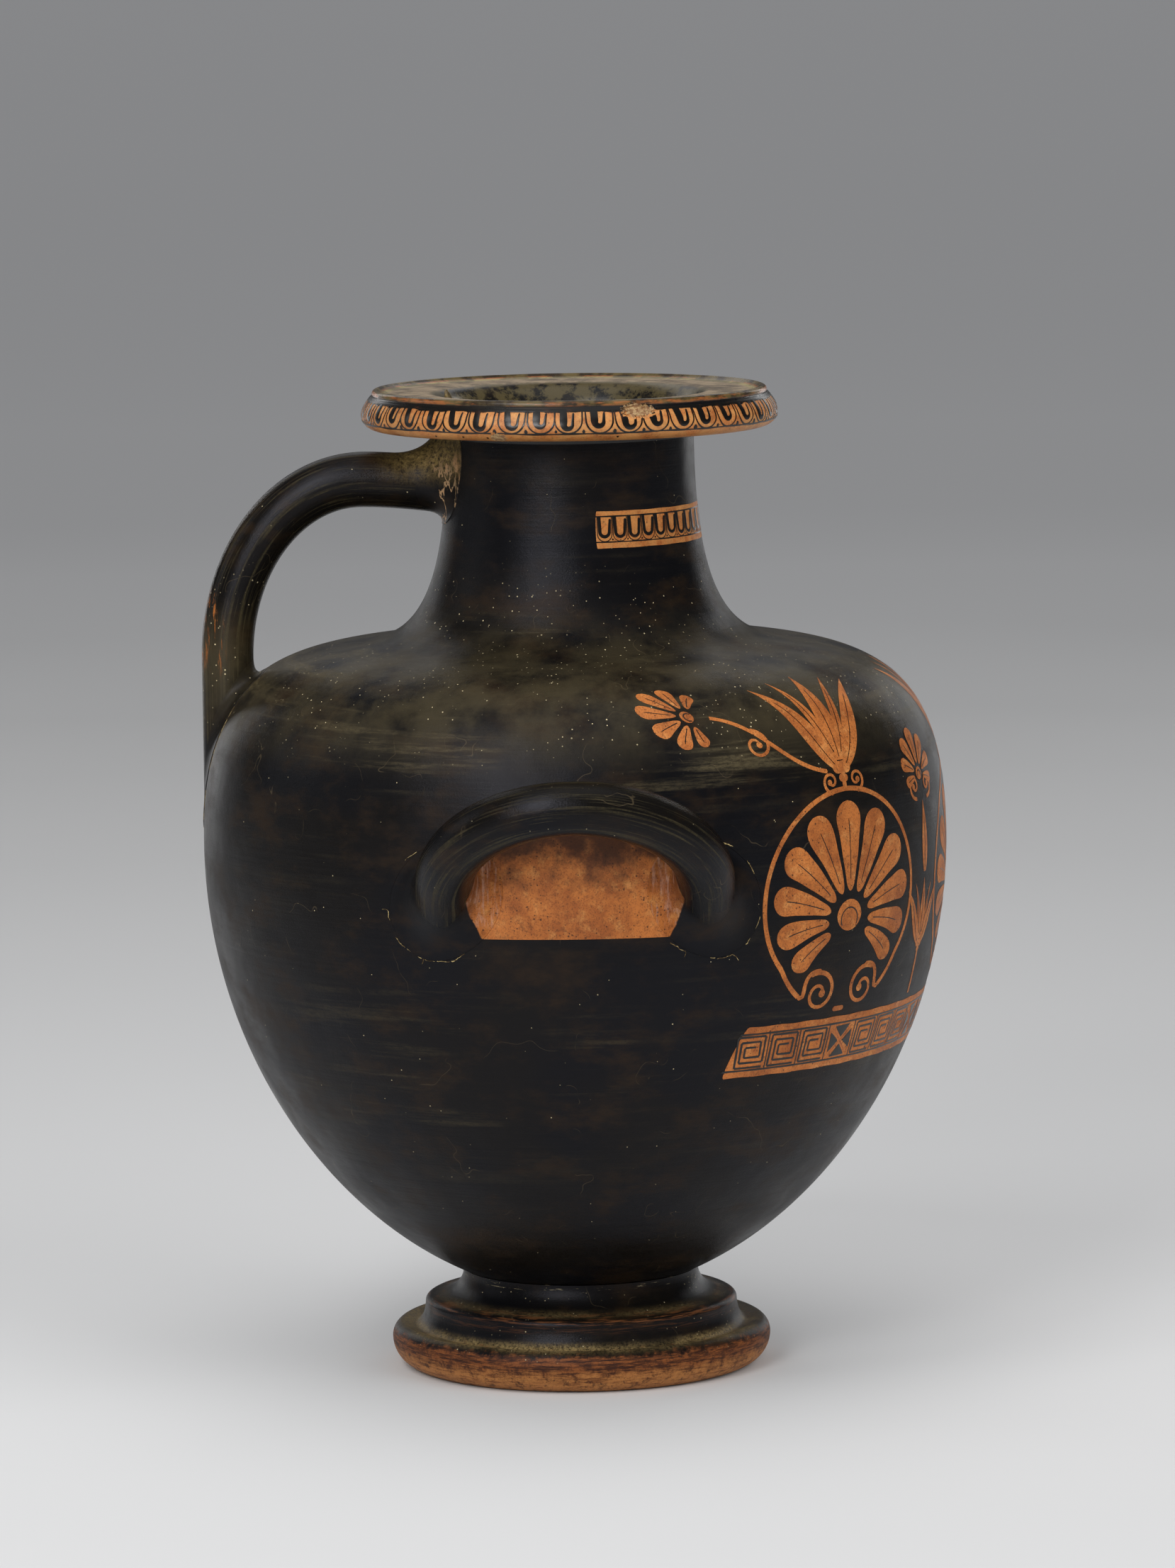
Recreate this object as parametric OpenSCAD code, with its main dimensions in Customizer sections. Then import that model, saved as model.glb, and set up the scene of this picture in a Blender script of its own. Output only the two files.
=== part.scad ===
// Three-handled water jar of the round-shouldered kind, thrown and luted from clay.
// Z is up. The origin is on the axis, on the surface that the jar stands on.
// The painted front faces -Y, the tall handle is at +Y and the side handles are at -X and +X.

/* [Foot] */
// Height of the foot, up to its joint with the body
foot_h = 38.5; // [32:0.5:46]
// Radius of the lower step of the foot
foot_r = 75.5; // [70:0.5:92]
// Height of the lower step of the foot
foot_step_h = 17; // [14:0.5:20]
// Radius of the upper step of the foot
upper_step_r = 62.2; // [56:0.5:66]
// Height of the upper step of the foot
upper_step_h = 27.5; // [24:0.5:30]
// Radius of the stem where the foot meets the body
stem_r = 46.8; // [38:0.5:54]
// Outer radius of the ring that the jar stands on
rest_r = 65; // [62:0.5:68]
// Width of the ring that the jar stands on
rest_w = 6.5; // [4:0.5:9]
// Thickness of the clay round the top of the hollow under the foot
foot_wall = 11; // [8:0.5:14]

/* [Body] */
// Radius of the body where it is widest
belly_r = 147.5; // [120:0.5:180]
// Rise from the foot joint to the widest part
lower_h = 172.5; // [140:0.5:210]
// Rise from the widest part to the turn of the shoulder
upper_h = 77.5; // [62:0.5:95]
// Radius at the turn of the shoulder, where the neck curve starts
shoulder_r = 92.5; // [82:0.5:100]
// Slope of the shoulder at that turn
shoulder_slope = 0.12; // [0.05:0.01:0.3]
// Thickness of the thrown wall
wall = 6; // [4.5:0.1:7.5]
// Thickness of the floor at the axis
floor_t = 9; // [7:0.5:12]
// Drop across the bevelled joint between the two halves of the body
bevel = 4; // [2:0.5:6]

/* [Neck and mouth] */
// Rise from the turn of the shoulder to the top of the neck
neck_h = 82.5; // [68:0.5:100]
// Outer radius of the neck under the lip
neck_r = 49.2; // [44:0.2:56]
// Height of the mouth piece, from the top of the neck to the rim
mouth_h = 19; // [17:0.5:22]
// Height of the overhanging lip
lip_h = 15.7; // [13:0.1:17]
// Radius of the lip where it is widest
lip_r = 82.2; // [76:0.2:90]
// Outer radius of the raised rim on the lip
rim_r = 78.2; // [74:0.2:80]
// Width of the raised rim
rim_w = 4.4; // [3:0.2:6]
// Depth of the dished shelf below the rim
shelf_d = 1.7; // [1:0.1:2.5]
// Radius of the opening at the shelf
opening_r = 52; // [50:0.5:58]

/* [Side handles] */
// Half the distance between the legs of a side handle
side_half_w = 49.5; // [42:0.5:58]
// Height of the arch centre above the widest part of the body
side_lift = 1; // [-6:0.5:10]
// Tilt of the handle above the horizontal
side_tilt = 42; // [30:1:50]
// Radius of the handle at the middle of the arch
side_tube_r = 10.2; // [8.5:0.1:12]
// Growth of that radius towards the legs
side_leg_more = 1.1; // [0:0.1:2]
// Distance of the arch centre inside the widest part of the body
side_inset = 1.5; // [0:0.5:5]

/* [Back handle] */
// Drop from the top of the neck to the centre of the handle's crest
back_drop = 16.7; // [14:0.1:22]
// Distance from the neck to the handle's crest
back_crest = 33; // [28:0.5:40]
// Radius of the handle
back_tube_r = 10.3; // [8.5:0.1:12]
// Growth of that radius at the crest
back_crest_more = 0.7; // [0:0.1:1.5]
// Rise of the handle from the neck to its crest
back_rise = 4; // [2:0.5:8]
// Depth of the line's start inside the neck's outer face
back_seat_in = 13.8; // [13:0.2:18]
// Drop from the turn of the shoulder to where the handle runs straight down
back_turn_below = 4.5; // [0:0.5:10]
// Height above the widest part of the body where the handle's line ends in the wall
back_seat_up = 20.2; // [14:0.2:24]

/* [Clay at the handle roots] */
// Spread of the clay beside the root of a side handle
side_pad_w = 10; // [6:0.5:12]
// Spread of the clay above and below the root of a side handle
side_pad_h = 6.5; // [4:0.5:9]
// Reach of that clay along the handle, from the wall
side_pad_reach = 19; // [14:1:26]
// Spread of the clay beside the upper root of the back handle
neck_pad_w = 15; // [8:0.5:18]
// Spread of the clay below the upper root of the back handle
neck_pad_hang = 28; // [16:1:32]
// Spread of the clay above the upper root of the back handle
neck_pad_top = 4; // [2:0.5:5]
// Distance from the neck over which that clay thins out
neck_pad_out = 24; // [18:1:28]
// Spread of the clay beside the lower root of the back handle
shoulder_pad_w = 9.5; // [6:0.5:12]
// Spread of the clay in front of the lower root of the back handle
shoulder_pad_d = 4; // [2:0.5:6]
// Thickness of the edge of the smoothed clay
pad_edge = 0.6; // [0.4:0.1:1.2]

/* [Hidden] */
$fn = 96;

black_gloss = [0.08, 0.075, 0.08];
clay = [0.72, 0.38, 0.17];

// Heights of the joints, from the bottom up
belly_z = foot_h + lower_h;
shoulder_z = belly_z + upper_h;
neck_z = shoulder_z + neck_h;
jar_h = neck_z + mouth_h;
lip_z = jar_h - lip_h;

// Shape of the long curves: how far each end holds its direction
stem_hold = [55.5, 25];
belly_low_hold = 0.465 * lower_h;
belly_high_hold = 0.64 * upper_h;
shoulder_hold = 0.74 * (belly_r - shoulder_r);
turn_hold = 0.51 * (shoulder_r - neck_r);
neck_hold = 0.965 * neck_h;

// Small forms of the foot: its rounded lower step, the valley above it and the upper arris
foot_widest_z = 0.66 * foot_step_h;
foot_round = 5;
valley_w = 4.6;
valley_d = 1;
arris_w = 3.2;
arris_h = 2.4;
stem_rise = 1.2;
hollow_dome = 0.62 * foot_h;
hollow_flare = 10;

// Small forms of the mouth: its fillet, the widest part of the lip and the groove under the rim
lip_widest_z = lip_z + 0.34 * lip_h;
lip_fillet = 3.5;
lip_round = 6;
lip_turn = [1.6, 2.2];
groove_drop = 2.4;
groove_d = 0.3;
rim_half_w = rim_w / 2;
throat_edge = 4;
throat_slope = [1.5, 5];

// Steps along a curve, and sides and steps of a handle
curve_steps = 14;
fine_steps = 5;
tube_sides = 20;
arch_steps = 28;
leg_steps = 7;
out_steps = 10;
over_steps = 20;
over_near = 2;
over_root = 3;

// Power by which root clay thins out along its handle
pad_thinning = 1.5;
neck_pad_thinning = 2;

function bezier(p, t) =
    pow(1 - t, 3) * p[0] + 3 * pow(1 - t, 2) * t * p[1]
    + 3 * (1 - t) * t * t * p[2] + pow(t, 3) * p[3];

function bezier_slope(p, t) =
    3 * pow(1 - t, 2) * (p[1] - p[0]) + 6 * (1 - t) * t * (p[2] - p[1])
    + 3 * t * t * (p[3] - p[2]);

function unit(v) = v / norm(v);

// A rounded corner: it leaves a towards the corner c and comes to b from there
function rounding(a, c, b, hold = 0.55) = [a, a + hold * (c - a), b + hold * (c - b), b];

// Points of a curve, from its start up to its end
function curve(p, steps) = [for (i = [0:steps]) bezier(p, i / steps)];

// The same points moved by d to the left of the way the curve runs
function inset_curve(p, steps, d, first = 0) = [
    for (i = [first:steps])
    let (s = unit(bezier_slope(p, i / steps)))
    bezier(p, i / steps) + d * [-s[1], s[0]]
];

function reversed(list) = [for (i = [len(list) - 1:-1:0]) list[i]];

function without_first(list) = [for (i = [1:len(list) - 1]) list[i]];

// Long curves of the wall, as radius and height
belly_curve = [
    [stem_r, foot_h],
    [stem_r, foot_h] + stem_hold,
    [belly_r, belly_z - belly_low_hold],
    [belly_r, belly_z]
];
shoulder_curve = [
    [belly_r, belly_z],
    [belly_r, belly_z + belly_high_hold],
    [shoulder_r + shoulder_hold, shoulder_z - shoulder_hold * shoulder_slope],
    [shoulder_r, shoulder_z]
];
neck_curve = [
    [shoulder_r, shoulder_z],
    [shoulder_r - turn_hold, shoulder_z + turn_hold * shoulder_slope],
    [neck_r, neck_z - neck_hold],
    [neck_r, neck_z]
];

outer_wall = concat(
    curve(belly_curve, curve_steps),
    without_first(curve(shoulder_curve, curve_steps)),
    without_first(curve(neck_curve, curve_steps))
);

// Everything inside the outer wall, used to seat the handles on it
module filled_body() {
    rotate_extrude()
    polygon(concat([[0, foot_h]], outer_wall, [[0, neck_z]]));
}

module foot() {
    lower_edge = rounding([rest_r, 0], [foot_r, 0], [foot_r, foot_widest_z]);
    upper_edge = rounding(
        [foot_r, foot_widest_z],
        [foot_r, foot_step_h],
        [foot_r - foot_round, foot_step_h]
    );
    cove = rounding(
        [upper_step_r + valley_w, foot_step_h - valley_d],
        [upper_step_r, foot_step_h - valley_d],
        [upper_step_r, upper_step_h - arris_h]
    );
    arris = rounding(
        [upper_step_r, upper_step_h - arris_h],
        [upper_step_r, upper_step_h],
        [upper_step_r - arris_w, upper_step_h]
    );
    stem = rounding(
        [upper_step_r - arris_w, upper_step_h],
        [stem_r, upper_step_h + stem_rise],
        [stem_r, foot_h],
        0.62
    );
    hollow = [
        [stem_r - foot_wall, foot_h],
        [stem_r - foot_wall, hollow_dome],
        [rest_r - rest_w - hollow_flare, 0.2 * foot_h],
        [rest_r - rest_w, 0]
    ];
    color(black_gloss)
    rotate_extrude()
    polygon(concat(
        curve(lower_edge, fine_steps),
        without_first(curve(upper_edge, fine_steps)),
        curve(cove, fine_steps),
        without_first(curve(arris, fine_steps)),
        without_first(curve(stem, fine_steps)),
        curve(hollow, curve_steps)
    ));
}

module lower_body() {
    inner = inset_curve(belly_curve, curve_steps, wall, 2);
    floor_curve = [
        [0, foot_h + floor_t],
        [0.5 * inner[0][0], foot_h + floor_t],
        [0.8 * inner[0][0], inner[0][1] - 3],
        inner[0]
    ];
    rim = [[belly_r - wall, belly_z - bevel]];
    color(black_gloss)
    rotate_extrude()
    polygon(concat(
        [[0, foot_h]],
        curve(belly_curve, curve_steps),
        rim,
        reversed([for (p = inner) if (p[1] < belly_z - bevel - 1) p]),
        without_first(reversed(curve(floor_curve, fine_steps)))
    ));
}

module upper_body() {
    inner_shoulder = inset_curve(shoulder_curve, curve_steps, wall);
    inner_neck = inset_curve(neck_curve, curve_steps, wall);
    color(black_gloss)
    rotate_extrude()
    polygon(concat(
        curve(shoulder_curve, curve_steps),
        without_first(curve(neck_curve, curve_steps)),
        reversed(inner_neck),
        without_first(reversed(inner_shoulder)),
        [[belly_r - wall, belly_z - bevel]]
    ));
}

module mouth() {
    underside_fillet = rounding(
        [neck_r, neck_z],
        [neck_r, lip_z],
        [neck_r + lip_fillet, lip_z],
        0.75
    );
    lower_edge = rounding([lip_r - lip_round, lip_z], [lip_r, lip_z], [lip_r, lip_widest_z]);
    face_top = [rim_r, jar_h - groove_drop];
    face = [
        [lip_r, lip_widest_z],
        [lip_r, lip_z + 0.55 * lip_h],
        face_top + [lip_turn[0], -lip_turn[1]],
        face_top
    ];
    rim = rounding(
        face_top - [groove_d, -0.2],
        [rim_r + groove_d, jar_h],
        [rim_r - rim_half_w, jar_h]
    );
    rim_inside = rounding(
        [rim_r - rim_half_w, jar_h],
        [rim_r - rim_w, jar_h - shelf_d],
        [rim_r - rim_w - rim_half_w, jar_h - shelf_d],
        0.7
    );
    throat = [
        [opening_r + throat_edge, jar_h - shelf_d],
        [opening_r, jar_h - shelf_d],
        [neck_r - wall + throat_slope[0], jar_h - shelf_d - throat_slope[1]],
        [neck_r - wall, neck_z]
    ];
    color(clay)
    rotate_extrude()
    polygon(concat(
        curve(underside_fillet, fine_steps),
        curve(lower_edge, fine_steps),
        without_first(curve(face, 2 * fine_steps)),
        curve(rim, fine_steps),
        without_first(curve(rim_inside, fine_steps)),
        curve(throat, 2 * fine_steps)
    ));
}

// A closed skin over rings that all have as many points as the rod has sides
module skin(rings) {
    count = len(rings) / tube_sides;
    ends = [
        [for (k = [0:tube_sides - 1]) k],
        [for (k = [tube_sides - 1:-1:0]) (count - 1) * tube_sides + k]
    ];
    sides = [
        for (i = [0:count - 2])
        for (k = [0:tube_sides - 1])
        let (
            a = i * tube_sides + k,
            b = i * tube_sides + (k + 1) % tube_sides,
            c = a + tube_sides,
            d = b + tube_sides
        )
        for (f = [[a, c, b], [b, c, d]]) f
    ];
    polyhedron(rings, concat(ends, sides));
}

// A round rod along stations, each [centre, radius in the bend, radius across it].
// across is the direction that stays square to the bend.
module rod(stations, across) {
    last = len(stations) - 1;
    skin([
        for (i = [0:last])
        let (
            before = stations[max(i - 1, 0)][0],
            after = stations[min(i + 1, last)][0],
            side = unit(cross(across, after - before))
        )
        for (k = [0:tube_sides - 1])
        let (a = 360 * k / tube_sides)
        stations[i][0] + stations[i][1] * cos(a) * side + stations[i][2] * sin(a) * across
    ]);
}

// An oval sleeve towards -X whose rings stand upright, each [centre, half width, half height]
module sleeve(rings) {
    skin([
        for (r = rings)
        for (k = [0:tube_sides - 1])
        let (a = 360 * k / tube_sides)
        r[0] + [0, r[1] * cos(a), r[2] * sin(a)]
    ]);
}

// Back handle: out of the neck to the crest, round and down into the shoulder
quarter_hold = 0.553;
back_inset = 0.5;
back_line_y = belly_r - back_tube_r - back_inset;
crest = [neck_r + back_crest, neck_z - back_drop];
turn_z = shoulder_z - back_turn_below;
back_end = [back_line_y, belly_z + back_seat_up];
back_start = [neck_r - back_seat_in, crest[1] - back_rise];

back_out = [
    back_start,
    [neck_r + 6, crest[1] - 0.55 * back_rise],
    [crest[0] - 14, crest[1]],
    crest
];
back_over = [
    crest,
    [crest[0] + quarter_hold * (back_line_y - crest[0]), crest[1]],
    [back_line_y, turn_z + quarter_hold * (crest[1] - turn_z)],
    [back_line_y, turn_z]
];
function back_r(t) = back_tube_r + back_crest_more * pow(max(0, 1 - t), 2);

back_out_points = [
    for (i = [0:out_steps]) [bezier(back_out, i / out_steps), back_r(0)]
];
back_over_points = [
    for (i = [1:over_steps]) [bezier(back_over, i / over_steps), back_r(i / over_steps)]
];
back_down_points = [
    for (i = [1:leg_steps])
    [[back_line_y, turn_z] + (back_end - [back_line_y, turn_z]) * i / leg_steps, back_tube_r]
];

function upright(p) = [0, p[0], p[1]];

module back_rod(places) {
    rod([for (p = places) [upright(p[0]), p[1], p[1]]], [1, 0, 0]);
}

module back_handle() {
    color(black_gloss)
    difference() {
        back_rod(concat(back_out_points, back_over_points, back_down_points));
        filled_body();
    }
}

// Clay worked round the upper root: it hangs well below the handle
module back_handle_upper_root() {
    near = concat(back_out_points, [for (i = [0:over_near]) back_over_points[i]]);
    clay_places = [for (p = near) if (p[0][0] < neck_r + neck_pad_out) p];
    color(black_gloss)
    difference() {
        rod([
            for (p = clay_places)
            let (
                off = max(0, p[0][0] - neck_r),
                below = neck_pad_hang * pow(max(0, 1 - off / neck_pad_out), neck_pad_thinning),
                above = neck_pad_top * pow(max(0, 1 - 3 * off / neck_pad_out), neck_pad_thinning),
                beside = neck_pad_w * pow(max(0, 1 - off / neck_pad_out), neck_pad_thinning)
            )
            [
                upright(p[0]) - [0, 0, (below - above) / 2],
                p[1] + pad_edge + (below + above) / 2,
                p[1] + pad_edge + beside
            ]
        ], [1, 0, 0]);
        back_rod(near);
        filled_body();
    }
}

// Clay worked round the lower root: its outer side stays level with the belly
module back_handle_lower_root() {
    turn = [for (i = [over_steps - over_root:over_steps - 1]) back_over_points[i]];
    near = concat(turn, back_down_points);
    color(black_gloss)
    difference() {
        rod([
            for (i = [1:len(near) - 1])
            let (
                p = near[i],
                e = pow((i - 1) / (len(near) - 2), pad_thinning),
                inward = (shoulder_pad_d + pad_edge) * e
            )
            [
                upright(p[0]) - [0, inward, 0],
                p[1] + pad_edge + shoulder_pad_d * e,
                p[1] + pad_edge + shoulder_pad_w * e
            ]
        ], [1, 0, 0]);
        back_rod(near);
        filled_body();
    }
}

// Side handle: two legs joined by a half-round arch, in a tilted plane.
// Distances along it start where a leg turns into the arch.
side_centre = [-belly_r + side_inset, 0, belly_z + side_lift];
side_out = [-cos(side_tilt), 0, sin(side_tilt)];
side_across = [sin(side_tilt), 0, cos(side_tilt)];
half_arch = PI * side_half_w / 2;
leg_depth = 16;
pad_shift = 0.35 * side_pad_w;

// Where a leg passes through the wall, how deep it starts and where its clay ends
leg_face = (side_centre[0] + sqrt(pow(belly_r, 2) - pow(side_half_w, 2))) / cos(side_tilt);
leg_start = leg_face - leg_depth;
root_out = leg_face + side_pad_reach;

// A place on the front half of the arch line, s along it from the leg's end
function side_point(s) =
    let (a = s <= 0 ? 0 : s / side_half_w * 180 / PI)
    side_centre
    + [0, -side_half_w * cos(a), 0]
    + side_out * (s <= 0 ? s : side_half_w * sin(a));

function side_r(s) = side_tube_r + side_leg_more * (1 - max(0, min(s, half_arch)) / half_arch);

root_places = [
    for (i = [0:leg_steps]) leg_start + (root_out - leg_start) * i / leg_steps
];
arch_places = [
    for (i = [1:arch_steps / 2]) root_out + (half_arch - root_out) * i * 2 / arch_steps
];

function side_stations(places) = [for (s = places) [side_point(s), side_r(s), side_r(s)]];

function other_side(station) = [
    [station[0][0], -station[0][1], station[0][2]], station[1], station[2]
];

module left_rod() {
    front_half = side_stations(concat(root_places, arch_places));
    back_half = [for (i = [len(front_half) - 2:-1:0]) other_side(front_half[i])];
    rod(concat(front_half, back_half), side_across);
}

// Clay worked round a root: rings that lie along the wall, wider towards it
module left_front_root() {
    rings = [
        for (s = root_places)
        let (
            e = pow(min(1, (root_out - s) / side_pad_reach), pad_thinning),
            r = side_r(s) + pad_edge
        )
        [side_point(s) - [0, pad_shift * e, 0], r + side_pad_w * e, r / cos(side_tilt) + side_pad_h * e]
    ];
    difference() {
        sleeve(rings);
        rod(side_stations(concat(root_places, [arch_places[0], arch_places[1]])), side_across);
        filled_body();
    }
}

module left_handle() {
    color(black_gloss)
    difference() {
        left_rod();
        filled_body();
    }
}

module left_handle_front_root() {
    color(black_gloss)
    left_front_root();
}

module left_handle_back_root() {
    color(black_gloss)
    mirror([0, 1, 0])
    left_front_root();
}

module right_handle() {
    mirror([1, 0, 0])
    left_handle();
}

module right_handle_front_root() {
    color(black_gloss)
    mirror([1, 0, 0])
    left_front_root();
}

module right_handle_back_root() {
    color(black_gloss)
    mirror([1, 0, 0])
    mirror([0, 1, 0])
    left_front_root();
}

foot();
lower_body();
upper_body();
mouth();
back_handle();
back_handle_upper_root();
back_handle_lower_root();
left_handle();
left_handle_front_root();
left_handle_back_root();
right_handle();
right_handle_front_root();
right_handle_back_root();
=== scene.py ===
"""Looks of a three-handled water jar: turned clay, black gloss and painted ornament.
Places are in metres in the frame of the part: +Z up, the painted front at -Y, the tall handle at +Y.
Sizes written here are millimetres times MM, and angles are in radians."""
import math
import random

import bmesh
import bpy
import numpy as np
from mathutils import Matrix, Vector


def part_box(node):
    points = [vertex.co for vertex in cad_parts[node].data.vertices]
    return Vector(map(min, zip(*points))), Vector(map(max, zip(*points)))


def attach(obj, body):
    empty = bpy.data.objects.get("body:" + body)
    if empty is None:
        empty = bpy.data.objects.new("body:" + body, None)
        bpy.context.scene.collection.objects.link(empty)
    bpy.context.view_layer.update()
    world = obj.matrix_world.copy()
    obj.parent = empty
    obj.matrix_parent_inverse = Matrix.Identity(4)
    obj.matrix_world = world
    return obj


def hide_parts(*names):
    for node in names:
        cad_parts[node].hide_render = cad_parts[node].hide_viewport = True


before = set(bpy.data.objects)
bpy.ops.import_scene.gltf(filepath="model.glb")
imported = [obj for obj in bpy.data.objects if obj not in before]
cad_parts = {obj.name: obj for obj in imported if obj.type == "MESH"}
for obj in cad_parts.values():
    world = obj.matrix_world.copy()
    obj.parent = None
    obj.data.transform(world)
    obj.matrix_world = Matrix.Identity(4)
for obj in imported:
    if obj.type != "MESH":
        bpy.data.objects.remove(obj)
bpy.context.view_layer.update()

MM = 0.001
draw = random.Random(7)

# Sizes of the part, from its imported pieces
FOOT_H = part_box("foot")[1][2]
FOOT_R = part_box("foot")[1][0]
BELLY_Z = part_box("lower_body")[1][2]
BELLY_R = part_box("lower_body")[1][0]
NECK_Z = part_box("upper_body")[1][2]
JAR_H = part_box("mouth")[1][2]
LIP_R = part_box("mouth")[1][0]
LIP_Z = JAR_H - 15.7 * MM

# Sizes that the boxes of the pieces don't give
STEM_R = 46.8 * MM
UPPER_STEP_R = 62.2 * MM
UPPER_STEP_Z = 27.5 * MM
STEP_Z = 17 * MM
REST_R = 65 * MM
REST_W = 6.5 * MM
SHOULDER_R = 92.5 * MM
SHOULDER_Z = 288.5 * MM
NECK_R = 49.2 * MM
RIM_R = 78.2 * MM
OPENING_R = 52 * MM
WALL = 6 * MM
INSET = 0.2 * MM  # the painted wall lies this far inside the CAD wall, so that raised lines stay in its box

SHARP = math.radians(42)  # edges with a sharper fold than this are drawn as edges


# Curves and turned outlines

def bezier(points, steps):
    """Points of a cubic curve."""
    a, b, c, d = (np.array(p, float) for p in points)
    t = np.linspace(0, 1, steps + 1)[:, None]
    return (1 - t) ** 3 * a + 3 * (1 - t) ** 2 * t * b + 3 * (1 - t) * t * t * c + t ** 3 * d


def rounding(a, c, b, steps, hold=0.55):
    """A rounded corner that leaves a towards c and comes to b from there."""
    a, b, c = (np.array(p, float) for p in (a, b, c))
    return bezier((a, a + hold * (c - a), b + hold * (c - b), b), steps)


def outline(*parts):
    """Joins runs of points into one outline, without points that lie on each other."""
    points = np.concatenate([np.atleast_2d(np.array(p, float)) for p in parts])
    far = np.linalg.norm(np.diff(points, axis=0), axis=1) > 1e-7
    return points[np.concatenate([[True], far])]


def run_length(points):
    """How far along its line each point lies."""
    return np.concatenate([[0], np.cumsum(np.linalg.norm(np.diff(points, axis=0), axis=1))])


class Profile:
    """A turned outline, as radius and height, with the length along it."""

    def __init__(self, points):
        self.points = points
        self.length = run_length(points)
        run = np.gradient(points, self.length, axis=0)
        run /= np.linalg.norm(run, axis=1)[:, None]
        self.normal = np.column_stack([run[:, 1], -run[:, 0]])

    def at(self, s):
        """Radius, height and outward normal at a length."""
        columns = np.column_stack([self.points, self.normal])
        return [np.interp(s, self.length, column) for column in columns.T]

    def length_at(self, z):
        return float(np.interp(z, self.points[:, 1], self.length))

    def radius_at(self, z):
        return np.interp(z, self.points[:, 1], self.points[:, 0])

    def place(self, centre, x, s, lift=0.0, round_r=None):
        """A point x to the right of the angle centre, measured along the wall at length s.
        A band that goes far round gives the radius at which its x is measured."""
        r, z, nr, nz = self.at(s)
        angle = centre + x / (round_r or r)
        out = r + lift * nr
        return np.stack([out * np.sin(angle), -out * np.cos(angle), z + lift * nz], axis=-1)


# The long curves of the wall; the same ones as the CAD model's
BELLY = [
    (STEM_R, FOOT_H),
    (STEM_R + 55.5 * MM, FOOT_H + 25 * MM),
    (BELLY_R, BELLY_Z - 0.465 * (BELLY_Z - FOOT_H)),
    (BELLY_R, BELLY_Z),
]
SHOULDER_HOLD = 0.74 * (BELLY_R - SHOULDER_R)
SHOULDER_SLOPE = 0.12
SHOULDER = [
    (BELLY_R, BELLY_Z),
    (BELLY_R, BELLY_Z + 0.64 * (SHOULDER_Z - BELLY_Z)),
    (SHOULDER_R + SHOULDER_HOLD, SHOULDER_Z - SHOULDER_HOLD * SHOULDER_SLOPE),
    (SHOULDER_R, SHOULDER_Z),
]
TURN_HOLD = 0.51 * (SHOULDER_R - NECK_R)
NECK = [
    (SHOULDER_R, SHOULDER_Z),
    (SHOULDER_R - TURN_HOLD, SHOULDER_Z + TURN_HOLD * SHOULDER_SLOPE),
    (NECK_R, NECK_Z - 0.965 * (NECK_Z - SHOULDER_Z)),
    (NECK_R, NECK_Z),
]


def moved_in(profile_points, distance):
    """An outline moved to its inner side."""
    flat = Profile(profile_points)
    return profile_points - distance * flat.normal


BELLY_STEPS = 90
whole_wall = outline(bezier(BELLY, BELLY_STEPS), bezier(SHOULDER, 70), bezier(NECK, 60))
wall = Profile(moved_in(whole_wall, INSET))
lower_wall, upper_wall = wall.points[:BELLY_STEPS + 1], wall.points[BELLY_STEPS:]


# Meshes

def new_piece(name, verts, faces, smooth=True):
    mesh = bpy.data.meshes.new(name)
    mesh.from_pydata([tuple(v) for v in verts], [], [tuple(f) for f in faces])
    mesh.polygons.foreach_set("use_smooth", [smooth] * len(mesh.polygons))
    mesh.update()
    piece = bpy.data.objects.new(name, mesh)
    bpy.context.scene.collection.objects.link(piece)
    return piece


def keep(piece, material, slot, *nodes):
    """Gives a piece its finish and its place in the frame."""
    piece.data.materials.append(material)
    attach(piece, "root")
    if nodes:
        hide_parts(*nodes)


def grid_faces(rows, columns, closed_rows=False, closed_columns=False):
    """Faces over a grid of points, row by row."""
    i = np.arange(rows if closed_rows else rows - 1)
    k = np.arange(columns if closed_columns else columns - 1)
    i, k = (g.ravel() for g in np.meshgrid(i, k, indexing="ij"))
    next_i, next_k = (i + 1) % rows, (k + 1) % columns
    corners = [i * columns + k, i * columns + next_k, next_i * columns + next_k, next_i * columns + k]
    return np.column_stack(corners)


def turned(name, points, sides, change=None):
    """A closed solid of revolution. The outline runs up its outside and down its inside."""
    angle = np.arange(sides) * 2 * math.pi / sides
    r = points[:, 0][:, None]
    verts = np.stack([
        r * np.sin(angle),
        -r * np.cos(angle),
        np.repeat(points[:, 1][:, None], sides, axis=1),
    ], axis=-1).reshape(-1, 3)
    if change:
        verts = change(verts)
    on_axis = points[0, 0] == 0
    faces = grid_faces(len(points), sides, closed_rows=not on_axis, closed_columns=True)
    piece = new_piece(name, verts, faces)
    if on_axis:
        merged = bmesh.new()
        merged.from_mesh(piece.data)
        bmesh.ops.remove_doubles(merged, verts=merged.verts, dist=1e-7)
        merged.to_mesh(piece.data)
        merged.free()
    piece.data.set_sharp_from_angle(angle=SHARP)
    return piece


# Rods and worked clay of the handles

def frames_along(path, across):
    """Side directions of a rod, square to its path and to the direction across its bend."""
    run = np.gradient(path, axis=0)
    side = np.cross(across, run)
    return side / np.linalg.norm(side, axis=1)[:, None]


ROD_SIDES = 48


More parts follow.
